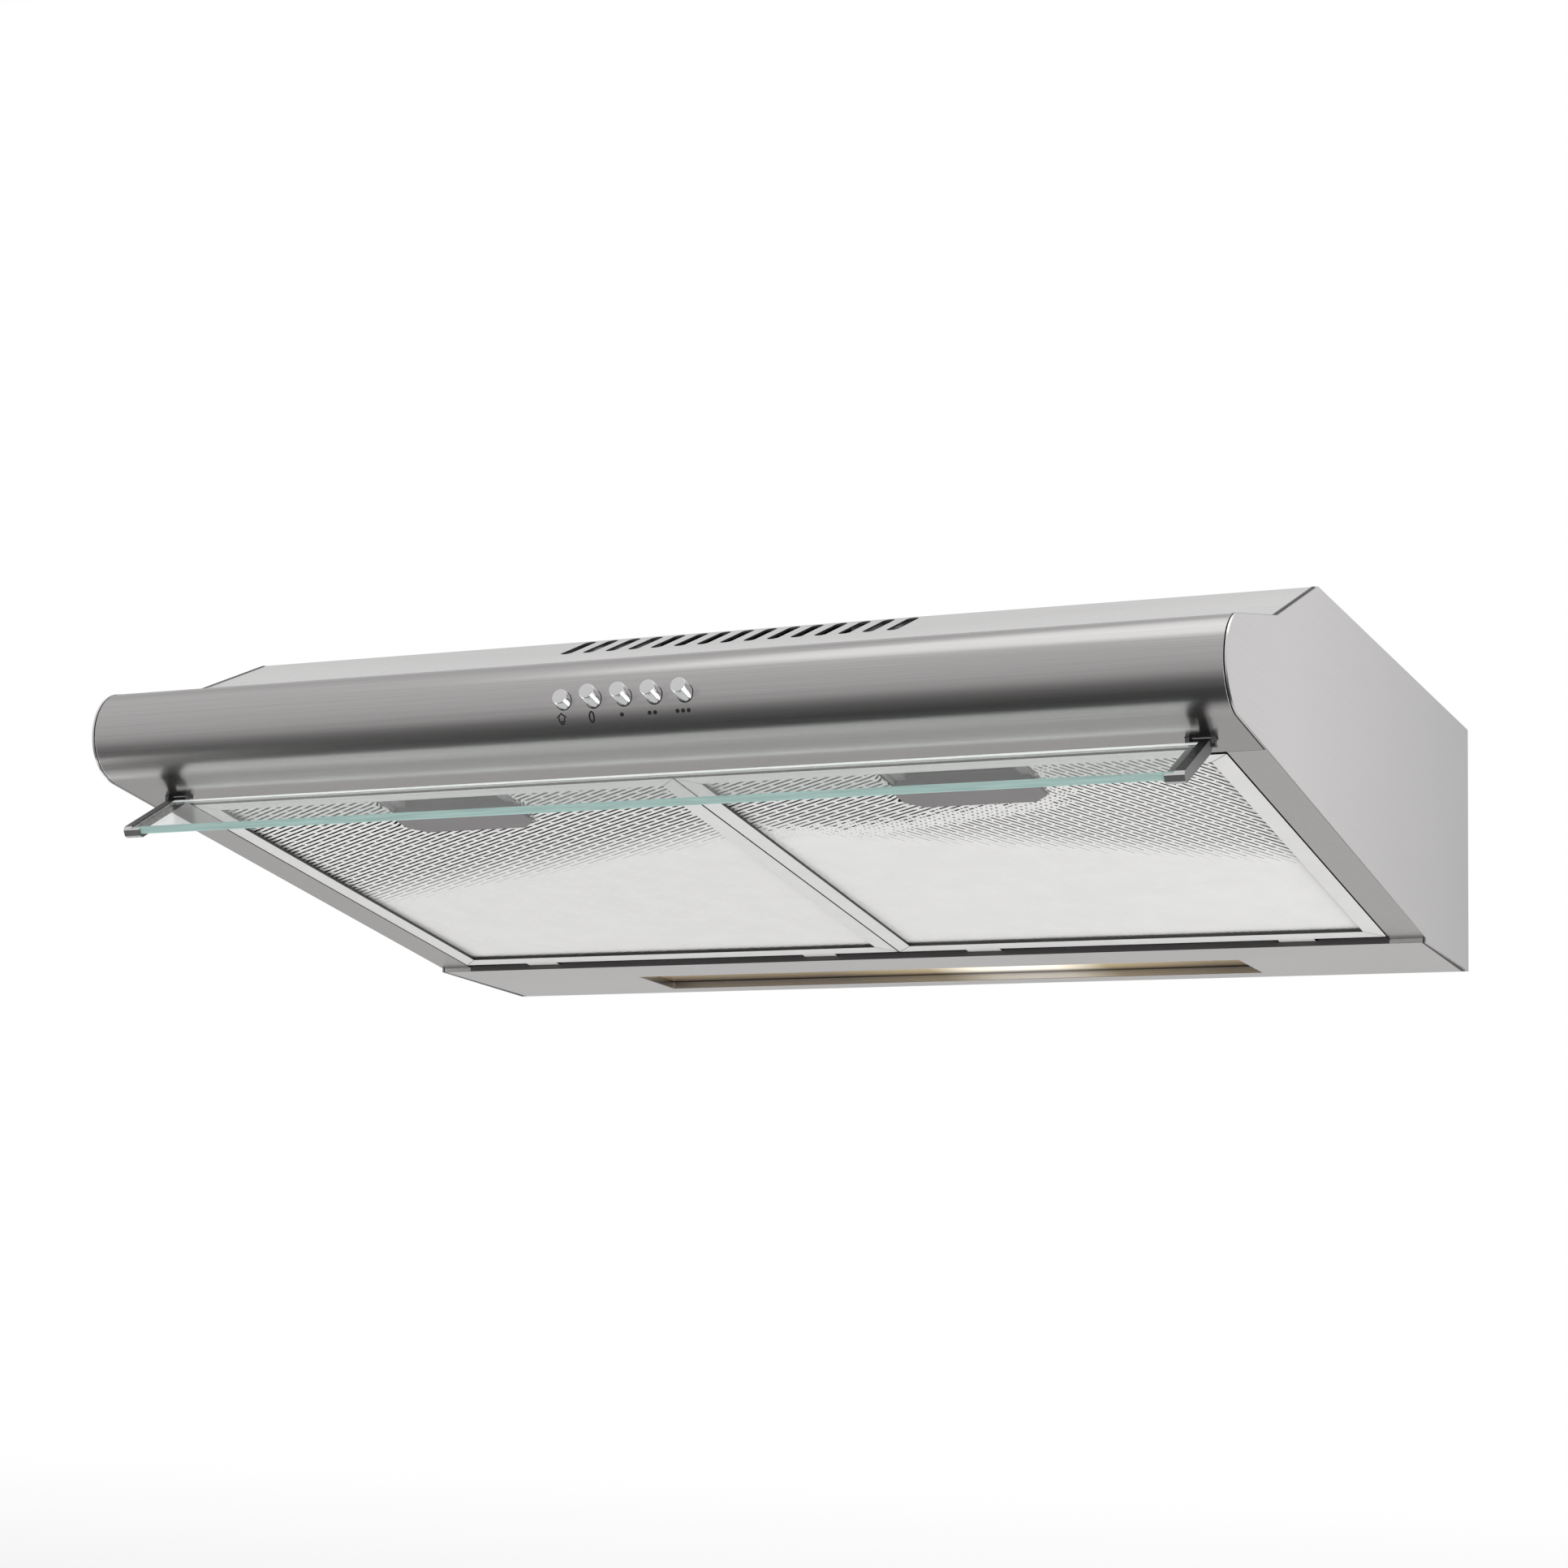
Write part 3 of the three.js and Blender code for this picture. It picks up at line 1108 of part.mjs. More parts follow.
const visor = new THREE.Group();
visor.applyMatrix4(visorMatrix);
hood.add(visor);
add('visor_glass', visorGlass(), 'glass', visor);
for (const [side, place] of [['right', (g) => g], ['left', mirrored]]) {
  add(`${side}_visor_arm`, place(visorArm()), 'darkPaint', visor);
  add(`${side}_visor_bracket`, place(visorBracket()), 'blackPlastic');
  add(`${side}_visor_pin`, place(visorPin()), 'zincPlated');
}

add('lamp_lens', lensPlate(), 'lens');
add('lamp_reflector', reflector(), 'aluminium');
add('lamp_holder', bulbHolder(), 'blackPlastic');
add('lamp_bulb', bulb(), 'bulb');

add('blower_casing', blowerCasing(), 'blackPlastic');
add('blower_cover', blowerCover(), 'blackPlastic');
add('inlet_guard', inletGuard(), 'blackPlastic');
add('impeller', impeller(), 'greyPlastic');
add('impeller_nut', impellerNut(), 'zincPlated');
add('motor_plate', motorPlate(), 'galvanised');
add('motor_body', motorBody(), 'galvanised');
add('motor_shaft', motorShaft(), 'zincPlated');
add('diverter_flap', diverterFlap(), 'blackPlastic');
add('vent_duct', ventDuct(), 'galvanised');

add('outlet_collar', outletCollar(), 'blackPlastic');
add('damper_pin', rodX(PIN_RADIUS, -OUTLET_RADIUS + GAP, OUTLET_RADIUS - GAP, OUTLET_Y, DAMPER_HEIGHT), 'zincPlated');
for (const [name, knuckleX, turn] of [['rear_damper_flap', 20, 0], ['front_damper_flap', 34, Math.PI]]) {
  const flap = add(name, damperFlap(knuckleX), 'aluminium');
  flap.position.set(0, OUTLET_Y, DAMPER_HEIGHT);
  flap.rotation.z = turn;
}
screwPoints().forEach(([x, y], i) => add(`collar_screw_${i + 1}`, collarScrew(x, y), 'zincPlated'));

add('terminal_box', terminalBox(), 'blackPlastic');
add('terminal_cover', terminalCover(), 'blackPlastic');
add('cable_grommet', cableGrommet(), 'rubber');
add('capacitor', capacitor(), 'galvanised');
add('capacitor_clip', capacitorClip(), 'zincPlated');
add('switch_lead', switchLead(), 'cable');
add('lamp_lead', lampLead(), 'cable');
add('motor_lead', motorLead(), 'cable');

export default hood;
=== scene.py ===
"""Looks of the under-cabinet range hood: materials, expanded filter mesh, pictograms, stage, camera.

Lengths are in metres, in the CAD frame: +X right, +Y to the wall, +Z up, the front faces -Y.
"""

import math

import bpy
from mathutils import Matrix, Vector

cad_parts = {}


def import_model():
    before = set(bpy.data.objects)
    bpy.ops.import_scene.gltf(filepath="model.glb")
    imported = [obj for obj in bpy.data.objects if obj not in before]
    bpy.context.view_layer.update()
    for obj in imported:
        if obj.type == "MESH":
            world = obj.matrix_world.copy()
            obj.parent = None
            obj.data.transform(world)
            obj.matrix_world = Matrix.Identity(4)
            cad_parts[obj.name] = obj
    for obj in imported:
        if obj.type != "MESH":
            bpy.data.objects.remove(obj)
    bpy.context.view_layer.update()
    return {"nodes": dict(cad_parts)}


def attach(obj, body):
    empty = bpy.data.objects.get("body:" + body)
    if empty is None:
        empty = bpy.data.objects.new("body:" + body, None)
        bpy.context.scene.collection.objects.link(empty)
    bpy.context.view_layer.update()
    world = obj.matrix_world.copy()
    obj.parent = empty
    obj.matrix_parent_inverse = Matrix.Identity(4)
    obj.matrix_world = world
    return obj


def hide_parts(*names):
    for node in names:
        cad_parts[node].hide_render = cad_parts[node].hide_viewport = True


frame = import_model()
nodes = frame["nodes"]

# ---------------------------------------------------------------- sizes taken from the CAD part

# Outline of the body, as (Y, Z)
NOSE_CENTRE = (-0.416, -0.0695)
NOSE_RADIUS = 0.024
CROWN_ANGLE = 114.5             # where the rounded front starts, degrees from +Y
VALLEY = (-0.361, -0.032)       # foot of the vent facet
CREASE = (-0.292, 0.0)          # head of the vent facet
UNDERSIDE_Z = -0.138
STRIP_STEP_Y = -0.075           # step in front of the lamp strip
JOINT_X = 0.2989                # just inside the side panels
LENS_Y = (-0.037, 0.010)
LENS_HALF_LENGTH = 0.187
BULB_X = 0.043

# Filter plane and what lies in it: X as the body's, Y down the slope to the rear, Z into the body
SLOPE = math.radians(-7.00824)
BAY_ORIGIN = Vector((0, -0.376, -0.098598))
FILTER_X = (0.0005, 0.280)
FILTER_Y = (0.003, 0.29827)
FILTER_BAND = 0.010
MESH_X = (0.0041, 0.2764)
MESH_Y = (0.0066, 0.2946)
MESH_Z = (0.00205, 0.00435)
NOTCH_X = (0.1015, 0.1790)      # room for the latch, which the mesh leaves free
NOTCH_END_Y = 0.0535

VISOR_PIVOT = Vector((0, -0.3953, -0.098725))
VISOR_TILT = math.radians(31)

BUTTON_PITCH = 0.0161
BUTTON_CENTRE_X = 0.0045

BAY = Matrix.Translation(BAY_ORIGIN) @ Matrix.Rotation(SLOPE, 4, "X")
VISOR = Matrix.Translation(VISOR_PIVOT) @ Matrix.Rotation(VISOR_TILT, 4, "X")


# ---------------------------------------------------------------- node helpers


class Nodes:
    """Short calls for building a material's node tree."""

    def __init__(self, name):
        self.material = bpy.data.materials.new(name)
        self.material.use_nodes = True
        self.tree = self.material.node_tree
        self.shader = self.tree.nodes["Principled BSDF"]
        self.output = self.tree.nodes["Material Output"]

    def add(self, kind, **settings):
        node = self.tree.nodes.new(kind)
        for key, value in settings.items():
            setattr(node, key, value)
        return node

    def link(self, source, target):
        self.tree.links.new(source, target)

    def feed(self, **sources):
        """Links outputs to the shader's sockets of those names."""
        for key, source in sources.items():
            self.link(source, self.shader.inputs[key.replace("_", " ")])

    def set(self, **values):
        """Sets the shader's sockets of those names."""
        for key, value in values.items():
            self.shader.inputs[key.replace("_", " ")].default_value = value

    def axes(self):
        """Object coordinates, one output for each axis."""
        where = self.add("ShaderNodeTexCoord")
        axes = self.add("ShaderNodeSeparateXYZ")
        self.link(where.outputs["Object"], axes.inputs[0])
        return axes.outputs

    def noise(self, scale, detail=2.0, roughness=0.5):
        """Noise in object coordinates, with its own scale, per metre, along each axis."""
        where = self.add("ShaderNodeTexCoord")
        mapping = self.add("ShaderNodeMapping")
        mapping.inputs["Scale"].default_value = scale
        self.link(where.outputs["Object"], mapping.inputs["Vector"])
        node = self.add("ShaderNodeTexNoise")
        node.inputs["Scale"].default_value = 1.0
        node.inputs["Detail"].default_value = detail
        node.inputs["Roughness"].default_value = roughness
        self.link(mapping.outputs["Vector"], node.inputs["Vector"])
        return node.outputs["Fac"]

    def span(self, value, low, high, source=(0.0, 1.0)):
        """Maps the range source to low ... high."""
        node = self.add("ShaderNodeMapRange")
        node.inputs["From Min"].default_value = source[0]
        node.inputs["From Max"].default_value = source[1]
        node.inputs["To Min"].default_value = low
        node.inputs["To Max"].default_value = high
        self.link(value, node.inputs["Value"])
        return node.outputs["Result"]

    def ramp(self, value, stops):
        node = self.add("ShaderNodeValToRGB")
        fill_ramp(node.color_ramp, stops)
        self.link(value, node.inputs["Fac"])
        return node.outputs["Color"]

    def math(self, operation, first, second=None):
        """Maths on one output, with a number or another output."""
        node = self.add("ShaderNodeMath", operation=operation)
        self.link(first, node.inputs[0])
        if isinstance(second, float):
            node.inputs[1].default_value = second
        elif second:
            self.link(second, node.inputs[1])
        return node.outputs[0]

    def mix(self, blend, first, second):
        """Multiplies or adds two colours; the second may be a plain grey level."""
        node = self.add("ShaderNodeMix", data_type="RGBA", blend_type=blend)
        node.inputs["Factor"].default_value = 1.0
        self.link(first, node.inputs[6])
        if isinstance(second, float):
            node.inputs[7].default_value = (*grey(second), 1.0)
        else:
            self.link(second, node.inputs[7])
        return node.outputs[2]

    def rounded(self, radius):
        """Normals of softened edges."""
        node = self.add("ShaderNodeBevel")
        node.samples = 4
        node.inputs["Radius"].default_value = radius
        return node.outputs["Normal"]

    def bump(self, height, strength, distance, edge=0.0):
        """Relief of the surface, with its edges softened to the radius edge."""
        node = self.add("ShaderNodeBump")
        node.inputs["Strength"].default_value = strength
        node.inputs["Distance"].default_value = distance
        self.link(height, node.inputs["Height"])
        if edge:
            self.link(self.rounded(edge), node.inputs["Normal"])
        self.feed(Normal=node.outputs["Normal"])


def fill_ramp(color_ramp, stops):
    """Gives a colour ramp its stops: (place from 0 to 1, colour)."""
    elements = color_ramp.elements
    while len(elements) < len(stops):
        elements.new(0.5)
    for element, (place, colour) in zip(elements, stops):
        element.position = place
        element.color = (*colour, 1.0)


def grey(level):
    return (level, level, level)


def shaded(colour, factor):
    return tuple(min(1.0, channel * factor) for channel in colour)


# ---------------------------------------------------------------- kinds of material


def brushed(name, colour, grain, roughness, spread, fade=None):
    """Brushed sheet: fine lines along the grain axis ("X" or "Y").

    fade = (axis, from, to, factor) darkens the colour gradually along an axis: painted shade.
    """
    n = Nodes(name)
    along, across = 6.0, 2600.0
    scale = (along, across, across) if grain == "X" else (across, along, across)
    lines = n.noise(scale, detail=3.0, roughness=0.65)
    smudge = n.noise((7.0, 7.0, 7.0))
    n.set(Metallic=1.0, Anisotropic=spread, Anisotropic_Rotation=0.25)
    tone = n.ramp(lines, [(0.3, shaded(colour, 0.93)), (0.7, shaded(colour, 1.05))])
    # painted shade: the colour darkens along the fade's axis
    if fade:
        axis, start, end, factor = fade
        reach = n.span(n.axes()[axis], 0.0, 1.0, (start, end))
        tone = n.mix("MULTIPLY", tone, n.ramp(reach, [(0.0, grey(1.0)), (1.0, grey(factor))]))
    fine = n.span(lines, roughness - 0.04, roughness + 0.05)
    coarse = n.span(smudge, -0.02, 0.03)
    tangent = n.add("ShaderNodeCombineXYZ")
    tangent.inputs[grain].default_value = 1.0
    n.feed(Base_Color=tone, Roughness=n.math("ADD", fine, coarse), Tangent=tangent.outputs[0])
    n.bump(lines, strength=0.10, distance=0.00002, edge=0.0005)
    return n.material


def metal(name, colour, roughness, wear=0.03, edge=0.0, metallic=1.0):
    """Plain or plated metal, faintly cloudy. A lower metallic gives soft aluminium's matt whiteness."""
    n = Nodes(name)
    n.set(Metallic=metallic)
    cloud = n.noise((60.0, 60.0, 60.0), detail=4.0)
    n.feed(Base_Color=n.ramp(cloud, [(0.35, shaded(colour, 1 - wear)), (0.65, colour)]),
           Roughness=n.span(cloud, roughness * 0.9, roughness * 1.12))
    if edge:
        n.feed(Normal=n.rounded(edge))
    return n.material


def moulded(name, colour, roughness, grain=0.25, edge=0.0003):
    """Moulded plastic or rubber with a fine spark texture."""
    n = Nodes(name)
    cloud = n.noise((25.0, 25.0, 25.0), detail=3.0)
    spark = n.noise((2200.0, 2200.0, 2200.0), detail=1.0)
    n.feed(Base_Color=n.ramp(cloud, [(0.3, shaded(colour, 0.9)), (0.7, colour)]),
           Roughness=n.span(spark, roughness - 0.05, roughness + 0.05))
    n.bump(spark, strength=grain, distance=0.00002, edge=edge)
    return n.material


def galvanised(name):
    """Zinc spangle."""
    n = Nodes(name)
    n.set(Metallic=1.0)
    cells = n.add("ShaderNodeTexVoronoi")
    cells.inputs["Scale"].default_value = 130.0
    where = n.add("ShaderNodeTexCoord")
    n.link(where.outputs["Object"], cells.inputs["Vector"])
    tone = n.ramp(cells.outputs["Color"], [(0.2, (0.40, 0.42, 0.43)), (0.8, (0.56, 0.58, 0.59))])
    n.feed(Base_Color=tone, Roughness=n.span(cells.outputs["Distance"], 0.34, 0.5))
    return n.material


def clear_glass(name, face, inside, density):
    """Clear glass whose body tints long paths."""
    n = Nodes(name)
    n.set(Transmission_Weight=1.0, IOR=1.5, Base_Color=(*face, 1.0))
    film = n.noise((18.0, 18.0, 18.0), detail=3.0)
    n.feed(Roughness=n.span(film, 0.0, 0.03))
    body = n.add("ShaderNodeVolumeAbsorption")
    body.inputs["Color"].default_value = (*inside, 1.0)
    body.inputs["Density"].default_value = density
    n.link(body.outputs["Volume"], n.output.inputs["Volume"])
    return n.material


def ground_edge(name, colour, glow):
    """Ground and polished glass edge with a painted glow: its emission stands in for the light that the
    pane gathers.
    """
    n = Nodes(name)
    # painted glow: the edge emits light though it is no lamp
    n.set(IOR=1.5, Roughness=0.18, Emission_Strength=glow)
    haze = n.noise((40.0, 900.0, 900.0))
    shade = n.ramp(haze, [(0.3, shaded(colour, 0.8)), (0.7, colour)])
    n.feed(Base_Color=shade, Emission_Color=shade)
    return n.material


def lamp_lens(name):
    """Amber lens lit from inside, with a bright place at the bulb; its gold in front darkens to brown
    at the rear with painted shade.
    """
    n = Nodes(name)
    n.set(Roughness=0.25, IOR=1.49, Emission_Strength=1.0)
    axes = n.axes()
    depth = n.span(axes["Y"], 0.0, 1.0, LENS_Y)
    # amber colour, with painted shade darkening it towards the rear
    tint_and_rear_shade = n.ramp(depth, [(0.0, (0.50, 0.40, 0.24)), (0.5, (0.30, 0.225, 0.12)),
                          (0.78, (0.16, 0.11, 0.045)), (0.96, (0.04, 0.025, 0.014))])
    from_bulb = n.math("ABSOLUTE", n.math("SUBTRACT", axes["X"], BULB_X))
    spot = n.ramp(n.span(from_bulb, 0.0, 1.0, (0.0, 0.12)),
                  [(0.0, (1.0, 0.97, 0.92)), (0.2, (0.95, 0.90, 0.80)),
                   (0.45, (0.22, 0.18, 0.10)), (1.0, grey(0.0))])
    # painted shade: the bulb's glow fades towards the lens's rear
    front = n.ramp(depth, [(0.0, grey(1.0)), (0.8, grey(0.9)), (0.97, grey(0.15))])
    glow = n.mix("ADD", n.mix("MULTIPLY", tint_and_rear_shade, 0.25), n.mix("MULTIPLY", spot, front))
    n.feed(Base_Color=tint_and_rear_shade, Emission_Color=glow)
    ribs = n.noise((1400.0, 30.0, 30.0), detail=1.0)
    n.bump(ribs, strength=0.15, distance=0.0001)
    return n.material


# ---------------------------------------------------------------- materials

STEEL = (0.60, 0.585, 0.58)
# painted light: the top sheet is a lighter copy of the same steel
STEEL_TOP_PAINTED_LIGHT = (0.71, 0.70, 0.695)
# painted shade: the side panels are a darker copy of the same steel
STEEL_SIDE_PAINTED_SHADE = (0.52, 0.505, 0.505)
# painted light: the side panels' downward flanges are a lighter copy of the same steel
STEEL_FLANGE_PAINTED_LIGHT = (0.72, 0.70, 0.70)
# painted shade: the front panel's steel darkens towards the top of the rounded crown
CROWN_PAINTED_SHADE = ("Z", -0.0540, -0.0500, 0.72)
# painted shade: the side panels' steel darkens towards the rear
REAR_PAINTED_SHADE = ("Y", -0.34, 0.05, 0.57)

MATERIALS = {
    "steel": brushed("brushed_steel", STEEL, "X", 0.22, 0.5),
    # front panel: brushed steel with painted shade along the top of the crown
    "steel_front_painted_shade": brushed("brushed_steel_front_painted_shade", STEEL, "X", 0.22, 0.5, fade=CROWN_PAINTED_SHADE),
    # top sheet: a lighter copy of the steel, painted light
    "steel_top_painted_light": brushed("brushed_steel_top_painted_light", STEEL_TOP_PAINTED_LIGHT, "X", 0.26, 0.4),
    # side panels: a darker copy of the steel, with more painted shade towards the rear
    "steel_side_painted_shade": brushed("brushed_steel_side_painted_shade", STEEL_SIDE_PAINTED_SHADE, "Y", 0.30, 0.5, fade=REAR_PAINTED_SHADE),
    # side panels' flanges: a lighter copy of the steel, painted light
    "steel_flange_painted_light": brushed("brushed_steel_flange_painted_light", STEEL_FLANGE_PAINTED_LIGHT, "Y", 0.30, 0.5),
    # painted shade: cut edges of the sheets, slot walls and seam edges, made near black
    "cut_edge_painted_shade": metal("cut_edge_painted_shade", grey(0.10), 0.6),
    # painted highlight: the top sheet's front lip and the side panels' front rims
    "painted_highlight_edge": metal("painted_highlight_edge", grey(0.96), 0.22),
    # painted shade with a warm painted reflection of the lamp, on the walls of the lamp's recess
    "recess": metal("recess_wall_painted_warm_shade", (0.15, 0.12, 0.085), 0.4),
    "frame": metal("rolled_aluminium", (0.93, 0.925, 0.92), 0.45, edge=0.0003, metallic=0.35),
    # painted shade: the filter frames' walls, a near-black copy of the aluminium
    "frame_wall_painted_shade": metal("frame_wall_painted_shade", grey(0.10), 0.5),
    "foil": metal("aluminium_foil", (0.98, 0.975, 0.965), 0.42, metallic=0.25),
    # painted shade: the inner foil is aluminium made near black, as in the outer foil's shade
    "foil_inner_painted_shade": metal("aluminium_foil_inner_painted_shade", grey(0.035), 0.6),
    "aluminium": metal("satin_aluminium", grey(0.80), 0.32),
    "chrome": metal("chrome_plate", (0.88, 0.88, 0.89), 0.05, wear=0.01, edge=0.0002),
    # painted highlight: the visor arms' forward end faces, made bright chrome
    "arm_tip_painted_highlight": metal("arm_tip_painted_highlight_chrome", grey(0.86), 0.16),
    "zinc": metal("zinc_plate", (0.70, 0.69, 0.65), 0.34),
    "bracket": metal("blackened_steel", (0.16, 0.16, 0.165), 0.35),
    "galvanised": galvanised("galvanised_sheet"),
    "grey": moulded("grey_plastic", (0.235, 0.225, 0.23), 0.5),
    "impeller": moulded("impeller_plastic", (0.12, 0.125, 0.13), 0.45),
    "dark": moulded("dark_lacquer", (0.045, 0.043, 0.045), 0.28, grain=0.05),
    # painted light: the visor arms' outer sides, a lighter copy of the arms' dark colour
    "arm_side_painted_light": moulded("arm_side_painted_light", (0.10, 0.10, 0.105), 0.35, grain=0.05),
    "black": moulded("black_plastic", (0.018, 0.018, 0.02), 0.5),
    "rubber": moulded("black_rubber", grey(0.012), 0.75),
    # a dark grey strip on the lamp strip's step
    "dark_strip": moulded("grey_dark_strip", (0.075, 0.07, 0.07), 0.6, grain=0.1, edge=0.0),
    # black print on the pictograms and mitre lines; also the painted shade in the side joints
    "print_and_painted_shade": moulded("black_print_and_painted_shade", (0.012, 0.012, 0.013), 0.45, grain=0.0, edge=0.0),
    "cable": moulded("cable_sheath", (0.62, 0.62, 0.60), 0.45),
    "glass": clear_glass("tempered_glass", (0.97, 0.995, 0.99), (0.55, 0.86, 0.78), 6.0),
    # visor glass edges: the glass's green, and a white painted highlight, both with painted glow
    "edge_front_painted_glow": ground_edge("glass_front_edge_painted_glow", (0.30, 0.42, 0.395), 0.55),
    "edge_rear_painted_glow": ground_edge("glass_rear_edge_painted_glow", (0.95, 0.97, 0.95), 0.75),
    "lens": lamp_lens("lamp_lens_amber"),
    "bulb": clear_glass("bulb_glass", (1.0, 0.97, 0.90), (1.0, 0.9, 0.7), 2.0),
}

# The finish of each CAD node
FINISHES = {
    "steel_front_painted_shade": ["front_panel"],
    "steel": ["rear_panel"],
    "steel_top_painted_light": ["top_panel"],
    "steel_side_painted_shade": ["right_side_panel", "left_side_panel"],
    "frame": ["right_filter_frame", "left_filter_frame"],
    "aluminium": ["lamp_reflector", "rear_damper_flap", "front_damper_flap"],
    "chrome": ["button_light", "button_stop", "button_speed_1", "button_speed_2", "button_speed_3"],
    "bracket": ["right_visor_bracket", "left_visor_bracket"],
    "zinc": [
        "damper_pin", "motor_shaft", "impeller_nut", "capacitor_clip", "right_visor_pin",
        "left_visor_pin", "collar_screw_1", "collar_screw_2", "collar_screw_3", "collar_screw_4",
    ],
    "galvanised": ["switch_bracket", "motor_plate", "motor_body", "vent_duct", "capacitor"],
    "grey": ["right_latch", "left_latch", "right_latch_housing", "left_latch_housing"],
    "impeller": ["impeller"],
    "dark": ["right_visor_arm", "left_visor_arm"],
    "black": [
        "switch_block", "blower_casing", "blower_cover", "inlet_guard", "diverter_flap",
        "outlet_collar", "terminal_box", "terminal_cover", "lamp_holder",
    ],
    "rubber": ["cable_grommet"],
    "cable": ["switch_lead", "lamp_lead", "motor_lead"],
    "glass": ["visor_glass"],
    "lens": ["lamp_lens"],
    "bulb": ["lamp_bulb"],
}


# ---------------------------------------------------------------- finishes of the CAD nodes, and painted light and shade on some of their faces

SHARP_ANGLE = math.radians(24)
WELD_DISTANCE = 0.000002


def smoothing():
    """Node group that welds the faces and smooths them, except across edges over SHARP_ANGLE."""
    group = bpy.data.node_groups.new("smooth_shading", "GeometryNodeTree")
    group.interface.new_socket("Geometry", in_out="INPUT", socket_type="NodeSocketGeometry")
    group.interface.new_socket("Geometry", in_out="OUTPUT", socket_type="NodeSocketGeometry")
    start = group.nodes.new("NodeGroupInput")
    end = group.nodes.new("NodeGroupOutput")
    drop = group.nodes.new("GeometryNodeRemoveAttribute")
    drop.inputs["Name"].default_value = "custom_normal"
    weld = group.nodes.new("GeometryNodeMergeByDistance")
    weld.inputs["Distance"].default_value = WELD_DISTANCE
    smooth = group.nodes.new("GeometryNodeSetShadeSmooth")
    smooth.domain = "FACE"
    smooth.inputs["Shade Smooth"].default_value = True
    angle = group.nodes.new("GeometryNodeInputMeshEdgeAngle")
    over = group.nodes.new("FunctionNodeCompare")
    over.data_type = "FLOAT"
    over.operation = "GREATER_THAN"
    over.inputs["B"].default_value = SHARP_ANGLE
    sharp = group.nodes.new("GeometryNodeSetShadeSmooth")
    sharp.domain = "EDGE"
    sharp.inputs["Shade Smooth"].default_value = False
    link = group.links.new
    link(start.outputs[0], drop.inputs["Geometry"])
    link(drop.outputs["Geometry"], weld.inputs["Geometry"])
    link(weld.outputs["Geometry"], smooth.inputs["Geometry"])
    link(angle.outputs["Unsigned Angle"], over.inputs["A"])
    link(over.outputs["Result"], sharp.inputs["Selection"])
    link(smooth.outputs["Geometry"], sharp.inputs["Geometry"])
    link(sharp.outputs["Geometry"], end.inputs[0])
    return group


SMOOTHING = smoothing()


def dress(name, key):
    """Gives a CAD node its finish and smooth shading."""
    obj = nodes[name]
    obj.data.materials.clear()
    obj.data.materials.append(MATERIALS[key])
    modifier = obj.modifiers.new("smooth_shading", "NODES")
    modifier.node_group = SMOOTHING


def dress_faces(name, key, choose):
    """Gives the faces picked by choose(normal, centre) another material; here that mostly paints light
    and shade onto them.
    """
    mesh = nodes[name].data
    mesh.materials.append(MATERIALS[key])
    for face in mesh.polygons:
        if choose(face.normal, face.center):
            face.material_index = len(mesh.materials) - 1


def dress_body():
    """Painted shade on the cut edges of the top sheet, a painted highlight on its front lip, and
    painted shade with a warm painted reflection on the walls of the lamp's recess.
    """
    facet = Vector((0, CREASE[1] - VALLEY[1], CREASE[0] - VALLEY[0])).normalized()
    facet.y = -facet.y
    # painted shade on the vent slots' walls and on the top sheet's ends at the side seams
    dress_faces("top_panel", "cut_edge_painted_shade", lambda n, c: c.y < CREASE[0] and abs(n.dot(facet)) < 0.5)
    dress_faces("top_panel", "cut_edge_painted_shade", lambda n, c: abs(n.x) > 0.9)
    # painted highlight along the top sheet's front lip
    dress_faces("top_panel", "painted_highlight_edge", lambda n, c: c.y < -0.418 and n.y < -0.5)

    def recess(n, c):
        faces_y = abs(n.z) < 0.5 and abs(n.x) < 0.5
        on_strip = -0.07 < c.y < -0.001 and abs(c.x) < LENS_HALF_LENGTH
        return faces_y and on_strip and UNDERSIDE_Z + 0.0005 < c.z < UNDERSIDE_Z + 0.008

    # painted shade with a warm painted reflection on the recess walls
    dress_faces("rear_panel", "recess", recess)


def dress_side(side, way):
    """Painted highlight on a side panel's front rim, painted light on its downward flange and painted
    shade on the flange's cut edge; a painted highlight on its visor arm's front end and painted light
    on the arm's outer side; painted shade on its filter frame's walls.
    """
    panel, arm = f"{side}_side_panel", f"{side}_visor_arm"
    inner_x, middle_x, flange_tip_x = 0.2988, 0.2995, 0.29
    forward = VISOR.to_3x3() @ Vector((0, -1, 0))
    square = BAY.to_3x3() @ Vector((0, 0, 1))

    def rim(n, c):
        return abs(n.x) < 0.3 and c.x * way > inner_x and c.y < -0.4

    dress_faces(panel, "steel_flange_painted_light", lambda n, c: n.z < -0.6 and c.x * way < middle_x)
    dress_faces(panel, "painted_highlight_edge", rim)
    dress_faces(panel, "cut_edge_painted_shade", lambda n, c: abs(n.x) > 0.9 and c.x * way < flange_tip_x)
    dress_faces(arm, "arm_tip_painted_highlight", lambda n, c: n.dot(forward) > 0.6 and c.y < -0.42)
    dress_faces(arm, "arm_side_painted_light", lambda n, c: n.x * way > 0.9)
    dress_faces(f"{side}_filter_frame", "frame_wall_painted_shade", lambda n, c: abs(n.dot(square)) < 0.3)


def dress_pane():
    """The glass visor's long edges: the front one green with a painted glow, the rear one a bright
    painted highlight.
    """
    rearward = VISOR.to_3x3() @ Vector((0, 1, 0))
    dress_faces("visor_glass", "edge_front_painted_glow", lambda n, c: abs(n.x) < 0.5 and n.dot(rearward) < -0.5)
    dress_faces("visor_glass", "edge_rear_painted_glow", lambda n, c: abs(n.x) < 0.5 and n.dot(rearward) > 0.5)


